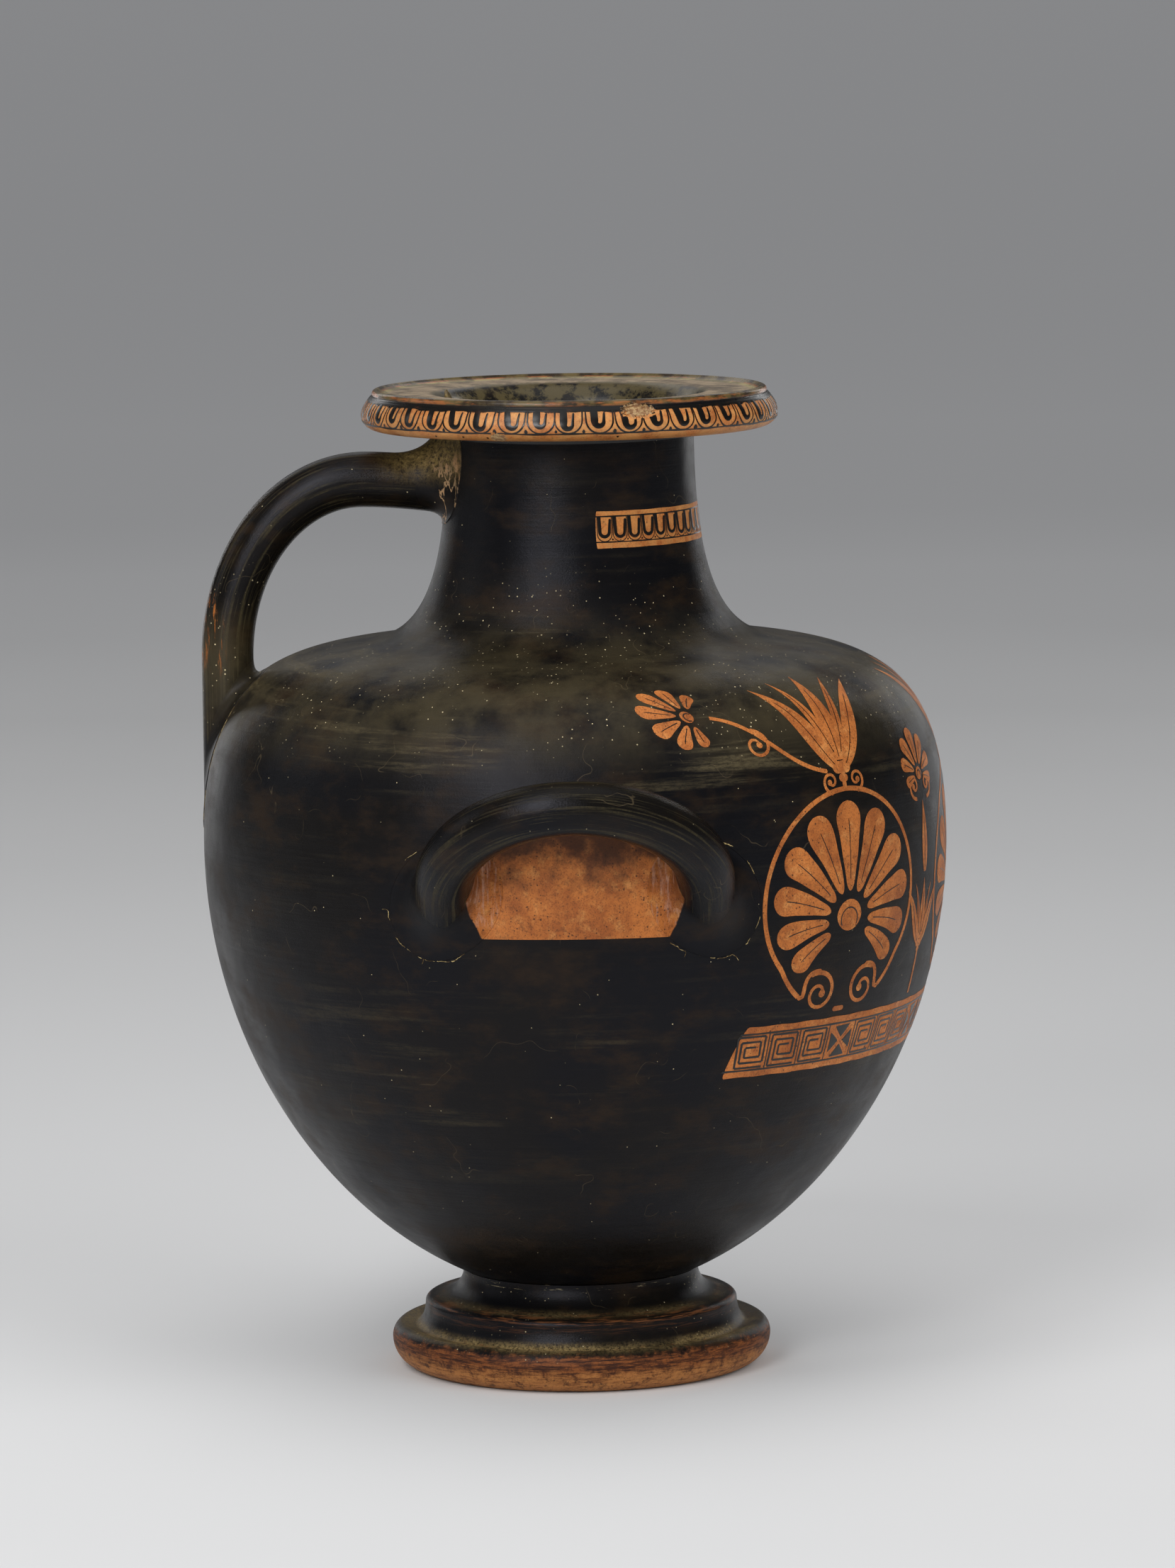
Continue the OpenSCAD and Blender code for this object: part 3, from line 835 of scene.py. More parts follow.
def chip_floors(n, base):
    """Paler clay in the chips."""
    for middle, half_w, half_h, _ in chip_places():
        off = n.vector("SUBTRACT", n.place, tuple(middle / MM))
        off = n.vector("MULTIPLY", off, (MM / half_w, MM / half_w, MM / half_h))
        far = n.add("VectorMath", {0: off}, operation="LENGTH").outputs["Value"]
        far = n.math("ADD", far, n.cloud(1.6, 0.3, 0.7, -0.25, 0.25, detail=4, rough=0.7))
        grainy = n.cloud(1.2, 0.35, 0.65, shift=(4, 2, 2), detail=4)
        broken = n.mix(grainy, colour(122, 84, 54), colour(176, 146, 104))
        base = n.mix(n.ease(far, 1.05, 0.9), base, broken)
    return base


def mouth_finish():
    """The mouth: clay ground for the lip's ornament, black above and inside, worn rims and shelf."""
    n = Nodes("mouth_gloss_and_clay")
    black, mottle, _ = gloss_colour(n)
    clay, _ = clay_colour(n)
    uneven = n.cloud(5, 0.3, 0.7, -0.5, 0.5, shift=(3, 3, 3), detail=4)
    height = n.math("ADD", n.z, uneven)
    lip = n.all_of(n.between(height, 373.9, 385.7, 0.25), n.ease(n.r, 75.6, 76.4))
    gold = n.cloud(6, 0.34, 0.60, 0.05, 0.5, stretch=(2, 2, 1), shift=(8, 8, 1), detail=5, rough=0.7)
    base = n.mix(lip, black, n.mix(gold, clay, colour(210, 156, 92)))
    base, ring = worn_rim(n, base)
    base, shelf = dusty_shelf(n, base)
    base = chip_floors(n, base)
    bare = n.any_of(lip, shelf, n.all_of(ring, 0.8))
    roughness = n.blend(bare, n.blend(mottle, 0.27, 0.42), 0.48)
    fine = n.noise(0.9, detail=5, rough=0.7)
    return n.finish(base, roughness, [(n.noise(20, detail=2), 0.3), (fine, 0.06)], Specular_IOR_Level=0.45)


def handle_streaks(n, base, roughness):
    """Brush streaks along a handle, in olive."""
    straight = n.add("Attribute", attribute_name="straight").outputs["Vector"]
    along = n.vector("MULTIPLY", straight, (1 / 1.1, 1 / 1.1, 1 / 40))
    streaks = n.add("TexNoise", {"Vector": along, "Scale": 1.0, "Detail": 6.0, "Roughness": 0.65})
    pale = n.ease(streaks.outputs["Fac"], 0.50, 0.68)
    length = n.add("SeparateXYZ", {"Vector": straight}).outputs[2]
    on_rod = n.ease(length, 1, 26)
    grain = n.cloud(1.2, 0.36, 0.60, 0.3, 1.0, shift=(3, 9, 1), detail=6, rough=0.8)
    base = n.over(base, colour(78, 70, 46), pale, on_rod, grain, 0.55)
    return base, n.blend(n.all_of(on_rod, 0.8), roughness, n.blend(pale, 0.22, 0.46))


FIELD_LOW, FIELD_BEND, FIELD_TOP = 190.5 * MM, 210 * MM, 232 * MM
FIELD_HALF = 41.4 * MM
FIELD_NARROWS = 6.1 * MM  # how much narrower, on each side, the field is at its lower edge
FIELD_CURVE = 18.5 * MM  # the height over which it widens
FIELD_TOP_NARROWS = 11 * MM  # how much narrower it is at its top
LEG_REACH = 156.5  # distance from the axis, in millimetres, to which the side handles' legs are bare


def bare_leg(n):
    """Where the inner faces of the side handles' legs are bare: inside the lines that bound the field."""
    uneven = n.cloud(6, 0.3, 0.7, -0.3, 0.3, shift=(5, 5, 5))
    across = n.math("ADD", n.math("ABSOLUTE", n.y), uneven)
    below = n.ease(n.z, FIELD_LOW / MM, (FIELD_LOW + FIELD_CURVE) / MM, 1.0, 0.0, kind="LINEAR")
    limit = n.math("SUBTRACT", FIELD_HALF / MM, n.all_of(below, below, FIELD_NARROWS / MM))
    return n.all_of(
        n.ease(n.math("SUBTRACT", limit, across), -0.3, 0.3),
        n.ease(n.math("ADD", n.r, uneven), LEG_REACH + 0.3, LEG_REACH - 0.3),
        n.ease(n.math("ADD", n.z, uneven), 190.1, 190.7),
        n.ease(n.z, 238, 232),
    )


def reserved_legs(n, base, roughness):
    """Leaves the inner faces of the side handles' legs in bare clay, darker outwards, with painted shade
    towards the top under the arch, and pale streaks.
    """
    base, roughness = handle_streaks(n, base, roughness)
    clay, _ = clay_colour(n)
    # painted shade: darker towards the top, where the arch shades the legs
    clay = n.mix(n.ease(n.z, 206, 230, 0.0, 0.85), clay, colour(52, 26, 15))
    clay = n.mix(n.ease(n.r, 147.0, 153.0, 0.15, 0.62), clay, colour(64, 34, 20))
    dust = n.cloud(4, 0.48, 0.64, stretch=(0.45, 0.45, 3.2), shift=(2, 7, 7), detail=6, rough=0.7)
    clay = n.over(clay, colour(196, 162, 144), dust, n.ease(n.z, 192, 198), n.ease(n.z, 230, 222), 0.3)
    inner = bare_leg(n)
    return n.mix(inner, base, clay), n.blend(inner, roughness, 0.5)


def shoulder_dust(n, base, roughness):
    """Golden dust on the shoulder beside the foot of the tall handle."""
    from_seam = n.math("SUBTRACT", n.math("ADD", n.y, n.all_of(n.z, 0.62)), 287.0)
    beside = n.all_of(n.ease(from_seam, -9.0, 0.0), n.between(n.x, -17, 17, 7), n.between(n.z, 246, 276, 9))
    grain = n.cloud(1.3, 0.38, 0.62, 0.1, 1.0, shift=(2, 6, 6), detail=6, rough=0.8)
    return n.over(base, DEPOSIT, beside, grain, 0.75), roughness


def dust_by_neck(n, base):
    """Golden dust on the tall handle's upper end, with paler crumbs in it."""
    grain = n.noise(1.5, shift=(2, 5, 8), detail=7, rough=0.8)
    near_neck = n.all_of(n.between(n.y, 42, 68, 12), n.ease(n.z, 350, 366))
    dust = n.all_of(near_neck, n.ease(grain, 0.34, 0.62))
    base = n.over(base, colour(158, 132, 78), dust, 0.85)
    bright = n.all_of(near_neck, n.ease(grain, 0.60, 0.68))
    return n.over(base, DEPOSIT_PALE, bright, 0.6), n.any_of(dust, bright)


def worn_back_handle(n, base, roughness):
    """The tall handle: streaks, a dusty deposit and bare clay by the neck, and a worn outer edge."""
    base, roughness = handle_streaks(n, base, roughness)
    clay, _ = clay_colour(n)
    base, dusted = dust_by_neck(n, base)
    blotch = n.cloud(6, 0.54, 0.59, stretch=(1, 1, 1.6), shift=(3, 3, 7), detail=7, rough=0.72)
    by_neck = n.all_of(n.between(n.y, 43, 50, 2.5), n.between(n.z, 350, 365, 4))
    base = n.over(base, n.mix(0.35, clay, DEPOSIT_PALE), by_neck, blotch, 0.7)
    seam = n.all_of(n.between(n.y, 44, 56, 4), n.between(n.z, 316, 360, 8))
    lines = n.noise(9, stretch=(1, 1, 2), shift=(5, 3, 1), detail=4, rough=0.6)
    veins = n.math("ABSOLUTE", n.math("SUBTRACT", lines, 0.5))
    base = n.over(base, n.mix(0.45, clay, DEPOSIT_PALE), seam, n.ease(veins, 0.022, 0.010), 0.8)
    outer = n.all_of(n.between(n.z, 284, 308, 9), n.ease(n.y, 136, 140))
    wear = n.cloud(2.2, 0.55, 0.61, stretch=(0.8, 0.8, 8), shift=(6, 6, 2), detail=6, rough=0.72)
    base = n.over(base, clay, outer, wear, 0.85)
    return base, n.blend(dusted, roughness, 0.7)


# Painted ornament, in strips that lie on the turned wall

def evenly(points, step, tips=(0, 0)):
    """Points about step apart along a line, closer in its two tips, with their distances from its start."""
    points = np.array(points, float)
    run = run_length(points)
    total = run[-1]
    close = 1 - np.cos(np.linspace(0, math.pi / 2, 6))
    at = np.concatenate([
        np.linspace(0, total, max(3, math.ceil(total / step)) + 1),
        min(tips[0], total / 2) * close,
        total - min(tips[1], total / 2) * close,
    ])
    at = np.unique(at)
    clear = np.concatenate([[True], np.diff(at) > 0.02 * MM])
    clear[-1] = True
    at = at[clear]
    return np.column_stack([np.interp(at, run, c) for c in points.T]), at


GROUND_LIFT = 0.06 * MM
LINE_LIFT = 0.13 * MM
CROWN = 0.05 * MM


class Paint:
    """Collects brush strokes on a turned wall and makes them one piece."""

    def __init__(self, name, profile, lift, crown=0.0, cross=1.6 * MM):
        self.name, self.profile = name, profile
        self.lift, self.crown, self.cross = lift, crown, cross
        self.verts, self.faces, self.count = [], [], 0

    def strip(self, centre, left, right, round_r=None):
        """A strip between two lines of points, each x across and s along the wall."""
        width = np.linalg.norm(left - right, axis=1).max()
        steps = max(2, int(math.ceil(width / self.cross)))
        t = np.linspace(0, 1, steps + 1)[None, :]
        x = left[:, :1] + (right[:, :1] - left[:, :1]) * t
        s = left[:, 1:] + (right[:, 1:] - left[:, 1:]) * t
        lift = self.lift + self.crown * (1 - (2 * t - 1) ** 2) * np.ones_like(x)
        points = self.profile.place(centre, x, s, lift, round_r).reshape(-1, 3)
        faces = grid_faces(len(left), steps + 1) + self.count
        self.verts.append(points)
        self.faces.append(faces)
        self.count += len(points)

    def stroke(self, centre, points, width, start=0.5, end=0.5, shape=None, step=1.4 * MM, wobble=0.04,
               round_r=None):
        """A brush stroke. start and end are the lengths of its round tips, as shares of its width."""
        line, at = evenly(points, step, (start * width, end * width))
        total = at[-1]
        run = np.gradient(line, at, axis=0)
        run /= np.maximum(np.linalg.norm(run, axis=1), 1e-12)[:, None]
        side = np.column_stack([-run[:, 1], run[:, 0]])
        w = np.full(len(line), width) if shape is None else width * shape(at / total)
        for tip, off in ((start, at), (end, total - at)):
            if tip:
                share = np.clip(off / (tip * width), 0, 1)
                w = w * np.sqrt(np.maximum(1 - (1 - share) ** 2, 0.0004))
        w = w * (1 + wobble * np.sin(at / (2.3 * MM) + draw.uniform(0, 6)))
        self.strip(centre, line + side * w[:, None] / 2, line - side * w[:, None] / 2, round_r)

    def disc(self, centre, x, s, radius):
        self.stroke(centre, [(x, s - radius), (x, s + radius)], 2 * radius, wobble=0.0, step=radius / 3)

    def finish(self, material, slot, broken=None):
        """Makes the piece. broken says which points have gone with a chip."""
        verts, faces = np.concatenate(self.verts), np.concatenate(self.faces)
        if broken is not None:
            faces = faces[~broken(verts)[faces].any(axis=1)]
            used, faces = np.unique(faces, return_inverse=True)
            verts, faces = verts[used], faces.reshape(-1, 4)
        keep(new_piece(self.name, verts, faces), material, slot)


def arc(x, s, radius_x, radius_s, start, end, steps=14):
    """Points on an ellipse, by angles counted from the right, anticlockwise."""
    a = np.linspace(start, end, steps + 1)
    return np.column_stack([x + radius_x * np.cos(a), s + radius_s * np.sin(a)])


def tongue(lines, centre, top, bottom, half, thin, hook_half, hook_depth, thick, weights, lean=0.0):
    """One egg of an ovolo: a thin outline, and in it a hook whose arms differ in weight."""
    round_s = 0.95 * half
    egg = np.concatenate([
        [(-half, top)],
        arc(0, bottom + round_s, half, round_s, math.pi, 2 * math.pi),
        [(half, top)],
    ])
    lines.stroke(centre, egg, thin, 0, 0, step=0.4 * MM, wobble=0.12)
    low = top - hook_depth
    hook = np.concatenate([
        [(-1.12 * hook_half, top)],
        arc(lean, low + hook_half, hook_half, hook_half, math.pi, 2 * math.pi),
        [(1.2 * hook_half + lean, top - 0.12 * hook_depth)],
    ])
    lines.stroke(
        centre, hook, thick, 0, 0.5,
        shape=lambda t: np.interp(t, (0, 0.3, 0.5, 0.75, 1), weights), step=0.35 * MM, wobble=0.05,
    )


def drop(lines, centre, x, s, radius):
    """A small blot of gloss."""
    line = [(x, s - 1.2 * radius), (x, s + radius)]
    lines.stroke(centre, line, 2 * radius, 0.5, 1.0, wobble=0.0, step=0.4 * radius)


LIP_TONGUES = 44
LIP_HOOK = (1.25, 1.35, 0.95, 0.5, 0.35)


def lip_ovolo():
    lines = Paint("lip_ovolo_lines", lip_face, LINE_LIFT, CROWN, cross=0.5 * MM)
    pitch = 2 * math.pi * LIP_R / LIP_TONGUES
    top, bottom = lip_face.length_at(386.2 * MM), lip_face.length_at(377.9 * MM)
    for i in range(LIP_TONGUES):
        centre = 2 * math.pi * (i + draw.uniform(-0.07, 0.07)) / LIP_TONGUES
        depth = draw.uniform(0.68, 0.86) * (top - bottom)
        hook_half = draw.uniform(1.6, 2.0) * MM
        thick = draw.uniform(1.9, 2.3) * MM
        lean = draw.uniform(-0.3, 0.7) * MM
        tongue(lines, centre, top, bottom - 0.2 * MM, 0.45 * pitch, 0.62 * MM, hook_half, depth, thick,
               LIP_HOOK, lean)
        drop(lines, centre, pitch / 2, bottom + 0.7 * MM, draw.uniform(0.55, 0.95) * MM)
        if draw.random() < 0.3:
            x, s = draw.uniform(-0.5, 0.5) * pitch, bottom - draw.uniform(2.0, 3.2) * MM
            lines.disc(centre, x, s, 0.45 * MM)
    round_r = LIP_R
    whole = np.linspace(-math.pi, math.pi, 361) * round_r
    sway = 0.15 * MM * np.sin(whole / (17 * MM)) + 0.1 * MM * np.sin(whole / (5.3 * MM))
    low_line = np.column_stack([whole, bottom - 0.3 * MM + sway])
    lines.stroke(0.0, low_line, 0.65 * MM, 0, 0, wobble=0.3, round_r=round_r)
    band = np.column_stack([whole, np.full(361, top + 0.2 * MM)])
    lines.stroke(0.0, band, 1.3 * MM, 0, 0, wobble=0.15, round_r=round_r)
    lines.finish(line_paint, "black_gloss", broken=lambda points: chip_share(points)[0] > 0.02)


NECK_PANEL = (330.3 * MM, 344.6 * MM)
NECK_PANEL_HALF = math.radians(79)
NECK_EGGS = 22
NECK_HOOK = (1.0, 1.1, 1.0, 0.95, 0.8)


def neck_ovolo():
    ground = Paint("neck_panel_ground", wall, GROUND_LIFT)
    lines = Paint("neck_panel_lines", wall, LINE_LIFT, CROWN, cross=0.5 * MM)
    bottom, top = (wall.length_at(z) for z in NECK_PANEL)
    round_r = wall.radius_at(sum(NECK_PANEL) / 2)
    half = NECK_PANEL_HALF * round_r
    middle = (top + bottom) / 2
    line = [(-half, middle), (half, middle)]
    ground.stroke(0.0, line, top - bottom, 0.035, 0.035, wobble=0.008, round_r=round_r)
    upper, lower = top - 2.0 * MM, bottom + 2.4 * MM
    for s, width in ((upper, 0.55 * MM), (lower, 0.5 * MM)):
        lines.stroke(0.0, [(-half, s), (half, s)], width, 0, 0, wobble=0.15, round_r=round_r)
    pitch = 2 * (half - 0.4 * MM) / NECK_EGGS
    for i in range(NECK_EGGS):
        centre = (-half + 0.4 * MM + pitch * (i + 0.5)) / round_r
        depth = draw.uniform(0.74, 0.84) * (upper - lower)
        tongue(lines, centre, upper, lower + 0.2 * MM, 0.46 * pitch, 0.34 * MM, 0.30 * pitch, depth,
               1.25 * MM, NECK_HOOK, draw.uniform(-0.15, 0.15) * MM)
        drop(lines, centre, pitch / 2, lower + 1.0 * MM, 0.36 * MM)
    ground.finish(neck_paint, "reserved_clay")
    lines.finish(line_paint, "black_gloss")


MEANDER = (131.9 * MM, 152.1 * MM)
MEANDER_HALF = math.radians(64)
MEANDER_CELLS = 20
SALTIRE_EVERY = 4
MEANDER_LINE = 0.9 * MM


def meander_square(lines, thin, centre, left, low, w, h):
    """A key that winds inwards in a square, one black line between clay lines."""
    step_x, step_s = 0.148 * w, 0.168 * h
    corners = []
    for ring in range(3):
        x, s = step_x * ring, step_s * ring
        corners += [(x, s), (x, h - s), (w - x, h - s), (w - x, s + step_s)]
    corners = [
        (left + x + draw.uniform(-0.1, 0.1) * MM, low + s + draw.uniform(-0.1, 0.1) * MM)
        for x, s in corners[:-1]
    ]
    lines.stroke(centre, [(left + w, low), corners[0]], MEANDER_LINE, 0.3, 0.3)
    for a, b in zip(corners, corners[1:]):
        lines.stroke(centre, [a, b], MEANDER_LINE, 0.3, 0.3, wobble=0.08)
    x, s = corners[-1]
    thin.stroke(centre, [(x, s), (x - 0.5 * step_x, s - 0.9 * step_s)], 0.4 * MM)


def saltire(lines, thin, centre, left, low, w, h):
    """A cross of clay with round arms, between four black wedges."""
    cx, cs = left + w / 2, low + h / 2
    for dx, ds in ((0, 1), (0, -1), (1, 0), (-1, 0)):
        length, width = (w / 2, 0.62 * h) if dx else (h / 2, 0.66 * w)
        lean = draw.uniform(-0.4, 0.4) * MM
        outer = (cx + dx * length + abs(ds) * lean, cs + ds * length + abs(dx) * lean)
        inner = (cx + dx * 0.26 * length, cs + ds * 0.26 * length)
        lines.stroke(centre, [outer, inner], width, 0, 0, wobble=0.05,
                     shape=lambda t: np.clip(1.02 - t, 0.04, 1) ** 0.85)
    for sign in (1, -1):
        reach_x, reach_s = 0.36 * w, sign * 0.36 * h
        bend = draw.uniform(-0.5, 0.5) * MM
        line = [(cx - reach_x, cs - reach_s), (cx + bend, cs - bend), (cx + reach_x, cs + reach_s)]
        thin.stroke(centre, line, 0.42 * MM)


def meander_band():
    ground = Paint("meander_ground", wall, GROUND_LIFT)
    lines = Paint("meander_lines", wall, LINE_LIFT, CROWN, cross=0.5 * MM)
    thin = Paint("meander_thin_lines", wall, LINE_LIFT, CROWN, cross=0.4 * MM)
    bottom, top = (wall.length_at(z) for z in MEANDER)
    r = wall.radius_at(sum(MEANDER) / 2)
    half = MEANDER_HALF * r
    middle = (top + bottom) / 2
    ground.stroke(0.0, [(-half, middle), (half, middle)], top - bottom, 0.1, 0.1, wobble=0.012)
    upper, lower = top - 3.0 * MM, bottom + 3.0 * MM
    for s in (upper, lower):
        lines.stroke(0.0, [(-half - 0.5 * MM, s), (half + 0.5 * MM, s)], 0.8 * MM, 0, 0, wobble=0.12)
    cell = 2 * half / MEANDER_CELLS
    side_gap, gap = 1.5 * MM, 1.15 * MM
    low, height = lower + gap, upper - lower - 2 * gap
    for i in range(MEANDER_CELLS):
        centre = (-half + cell * (i + 0.5)) / r
        place = (centre, -cell / 2 + side_gap, low, cell - 2 * side_gap, height)
        if i % SALTIRE_EVERY == SALTIRE_EVERY - 1:
            saltire(lines, thin, *place)
        else:
            meander_square(lines, thin, *place)
        lean = draw.uniform(-0.35, 0.35) * MM
        lines.stroke(centre, [(cell / 2, lower), (cell / 2 + lean, upper)], 0.55 * MM, 0, 0)
    ground.finish(clay_paint, "reserved_clay")
    lines.finish(line_paint, "black_gloss")
    thin.finish(thin_paint, "black_gloss")


# Flowers of the front, a common kind of ornament: upright palmettes in tendrils, with lotus flowers

flowers = Paint("palmette_flowers", wall, GROUND_LIFT)
relief = Paint("palmette_lines", wall, LINE_LIFT, CROWN, cross=0.4 * MM)
FLOWERS_BASE = wall.length_at(MEANDER[1]) + 1.5 * MM  # where they start, along the wall
TREE_SPACING = math.radians(44)
TENDRIL_WIDTH = 1.9 * MM
RIB_WIDTH = 0.34 * MM


def turn_by(points, x, s, angle):
    """Turns points clockwise by an angle and moves them to (x, s)."""
    points = np.atleast_2d(points)
    c, d = math.cos(angle), math.sin(angle)
    return np.column_stack([x + points[:, 0] * c + points[:, 1] * d, s - points[:, 0] * d + points[:, 1] * c])


def petal_reach(size, angle, fan):
    return size * (1 - 0.30 * (abs(angle) / fan) ** 1.6)


def palmette(centre, x, s, size, turn=0.0, petals=11, fan=2.05):
    """A fan of petals round a heart."""
    spacing = 2 * fan / (petals - 1)
    gap = 0.9 * MM
    for i in range(petals):
        angle = -fan + spacing * i
        reach = petal_reach(size, angle, fan)
        t = np.linspace(0, 1, 16)
        radius = 0.24 * size + (reach - 0.24 * size) * t
        bend = angle * (1 + 0.06 * t * t)
        spine = np.column_stack([radius * np.sin(bend), radius * np.cos(bend)])
        widest = spacing * reach * 0.86 - gap

        def shape(u, reach=reach, widest=widest):
            rho = 0.24 * size + (reach - 0.24 * size) * u
            return np.clip((spacing * rho * 0.92 - gap) / widest, 0.12, 1.0)
        points = turn_by(spine, x, s, turn)
        flowers.stroke(centre, points, widest, 0.25, 0.62, shape=shape, step=1.2 * MM, wobble=0.02)
        relief.stroke(centre, turn_by(spine[2:13], x, s, turn), RIB_WIDTH, 0, 3.0, wobble=0.1)
    heart = turn_by([(0, -0.10 * size), (0, 0.17 * size)], x, s, turn)
    flowers.stroke(centre, heart, 0.30 * size, wobble=0.0)
    ring = arc(0, 0, 0.10 * size, 0.10 * size, math.radians(-30), math.radians(210))
    relief.stroke(centre, turn_by(ring, x, s, turn), 0.5 * MM, wobble=0.1)


def volute(centre, x, s, radius, start, turns, side, width):
    """A tendril that winds inwards from a point of its circle."""
    t = np.linspace(0, 1, 60)
    angle = start + side * 2 * math.pi * turns * t
    r = radius * (1 - 0.80 * t ** 0.85)
    points = np.column_stack([x + r * np.cos(angle), s + r * np.sin(angle)])
    flowers.stroke(centre, points, width, 0, 0.5, shape=lambda u: 1 - 0.3 * u, step=0.8 * MM, wobble=0.03)
    flowers.disc(centre, *points[-1], 0.85 * width)


def ring_tendril(centre, x, s, size, fan, off, width):
    """The tendril that encloses a palmette, open below. Gives its two ends."""
    angle = np.linspace(-fan - 0.42, fan + 0.42, 90)
    reach = np.array([petal_reach(size, min(abs(a), fan), fan) for a in angle]) + off
    points = np.column_stack([x + reach * np.sin(angle), s + reach * np.cos(angle)])
    flowers.stroke(centre, points, width, 0, 0, step=1.2 * MM, wobble=0.03)
    return points[0], points[-1]


def leaf(centre, points, width):
    """A pointed leaf along a line, with a rib."""
    def shape(u):
        return np.maximum(np.sin(math.pi * np.clip(0.08 + 0.92 * u, 0, 1) ** 0.8), 0.03)
    flowers.stroke(centre, points, width, 0, 0, shape=shape, step=1.1 * MM, wobble=0.0)
    line, _ = evenly(points, 1.5 * MM)
    relief.stroke(centre, line[1:int(0.8 * len(line))], RIB_WIDTH, 0, 3.0, wobble=0.1)


def swing(a, b, c, d):
    """The line of a leaf or a tendril."""
    return bezier((a, b, c, d), 24)


def lotus(centre, x, s, size):
    """A flower of broad pointed leaves over a cup."""
    def go(points):
        return turn_by(np.array(points) * size, x, s, 0.0)
    for side in (-1, 1):
        outer = swing((side * 0.05, 0.06), (side * 0.26, 0.26), (side * 0.30, 0.62), (side * 0.60, 0.92))
        leaf(centre, go(outer), 0.185 * size)
        slim = swing((side * 0.035, 0.16), (side * 0.15, 0.45), (side * 0.17, 0.72), (side * 0.34, 1.0))
        leaf(centre, go(slim), 0.10 * size)
    leaf(centre, go([(0, 0.12), (0, 0.5), (0, 1.06)]), 0.20 * size)
    flowers.stroke(centre, go([(-0.11, 0.055), (0.11, 0.055)]), 0.11 * size, wobble=0.0)
    flowers.stroke(centre, go([(-0.055, -0.04), (0.055, -0.04)]), 0.07 * size, wobble=0.0)


def tree(centre):
    """One upright group: volutes, a large enclosed palmette and a lotus above it."""
    size, fan, off = 46 * MM, 2.05, 4.6 * MM
    s = FLOWERS_BASE + 38 * MM
    palmette(centre, 0, s, size, fan=fan)
    ends = ring_tendril(centre, 0, s, size, fan, off, TENDRIL_WIDTH)
    for side, end in zip((-1, 1), ends):
        start = math.pi / 2 - side * 0.55
        volute(centre, side * 12.5 * MM, FLOWERS_BASE + 9.5 * MM, 9.2 * MM, start, 1.35, side, TENDRIL_WIDTH)
        line = swing(
            end, end + np.array([-side * 6, -4]) * MM,
            (side * 25 * MM, FLOWERS_BASE + 20 * MM), (side * 12.5 * MM, FLOWERS_BASE + 18.6 * MM),
        )
        flowers.stroke(centre, line, TENDRIL_WIDTH, wobble=0.03)
    flowers.stroke(centre, [(-3 * MM, FLOWERS_BASE + 2 * MM), (3 * MM, FLOWERS_BASE + 2 * MM)], 2 * MM)
    top = s + size + off
    lotus(centre, 0, top + 6 * MM, 44 * MM)
    flowers.stroke(centre, [(0, top - 0.6 * MM), (0, top + 8 * MM)], 2.2 * MM)
    for side in (-1, 1):
        volute(centre, side * 7 * MM, top + 3.2 * MM, 4.6 * MM, -math.pi / 2, 1.2, side, 1.4 * MM)


def between_trees(centre):
    """A tendril with buds that fills the space between two trees."""
    stem = [(0, FLOWERS_BASE + 1 * MM), (0, FLOWERS_BASE + 22 * MM)]
    flowers.stroke(centre, stem, 1.6 * MM, 0, 0.5)
    palmette(centre, 0, FLOWERS_BASE + 88 * MM, 19 * MM, petals=7, fan=1.7)
    lotus(centre, 0, FLOWERS_BASE + 20 * MM, 26 * MM)
    bud = [(0, FLOWERS_BASE + 50 * MM), (0, FLOWERS_BASE + 60 * MM), (0, FLOWERS_BASE + 78 * MM)]
    leaf(centre, bud, 5.5 * MM)
    for side in (-1, 1):
        start = -math.pi / 2 - side * 0.2
        volute(centre, side * 6.5 * MM, FLOWERS_BASE + 84 * MM, 5.2 * MM, start, 1.25, side, 1.5 * MM)


def side_branch(centre, side):
    """A branch that leaves the outer tree at the shoulder and ends in a small palmette."""
    start = FLOWERS_BASE + 96 * MM
    path = swing(
        (side * 8 * MM, start), (side * 30 * MM, start + 4 * MM),
        (side * 34 * MM, start + 22 * MM), (side * 52 * MM, start + 26 * MM),
    )
    flowers.stroke(centre, path, 1.7 * MM, 0.4, 0, step=1.2 * MM)
    palmette(centre, side * 60 * MM, start + 27 * MM, 19 * MM, turn=side * 1.35, petals=7, fan=1.8)
    volute(centre, side * 38 * MM, start + 13 * MM, 6.5 * MM, math.pi / 2, 1.25, side, 1.5 * MM)


def front_flowers():
    for k in (-1, 0, 1):
        tree(k * TREE_SPACING)
    for side in (-1, 1):
        between_trees(side * TREE_SPACING / 2)
        side_branch(side * TREE_SPACING, side)
    flowers.finish(clay_paint, "reserved_clay")
    relief.finish(line_paint, "black_gloss")


def field_half(z):
    """Half the width of the bare field behind a side handle, at a height."""
    below = min(max(1 - (z - FIELD_LOW) / FIELD_CURVE, 0), 1)
    above = max(z - FIELD_BEND, 0) / (FIELD_TOP - FIELD_BEND)
    return FIELD_HALF - FIELD_NARROWS * below ** 2 - FIELD_TOP_NARROWS * above ** 2


def reserved_panel(name, centre):
    """The bare clay field on the wall behind a side handle."""
    panel = Paint(name, wall, GROUND_LIFT)
    heights = np.linspace(FIELD_LOW, FIELD_TOP, 40)
    edge = []
    for z in heights:
        r = wall.radius_at(z)
        edge.append((-r * math.asin(field_half(z) / r), wall.length_at(z)))
    edge = np.array(edge)
    panel.strip(centre, edge, edge * np.array([-1, 1]))
    panel.finish(panel_paint, "reserved_clay")


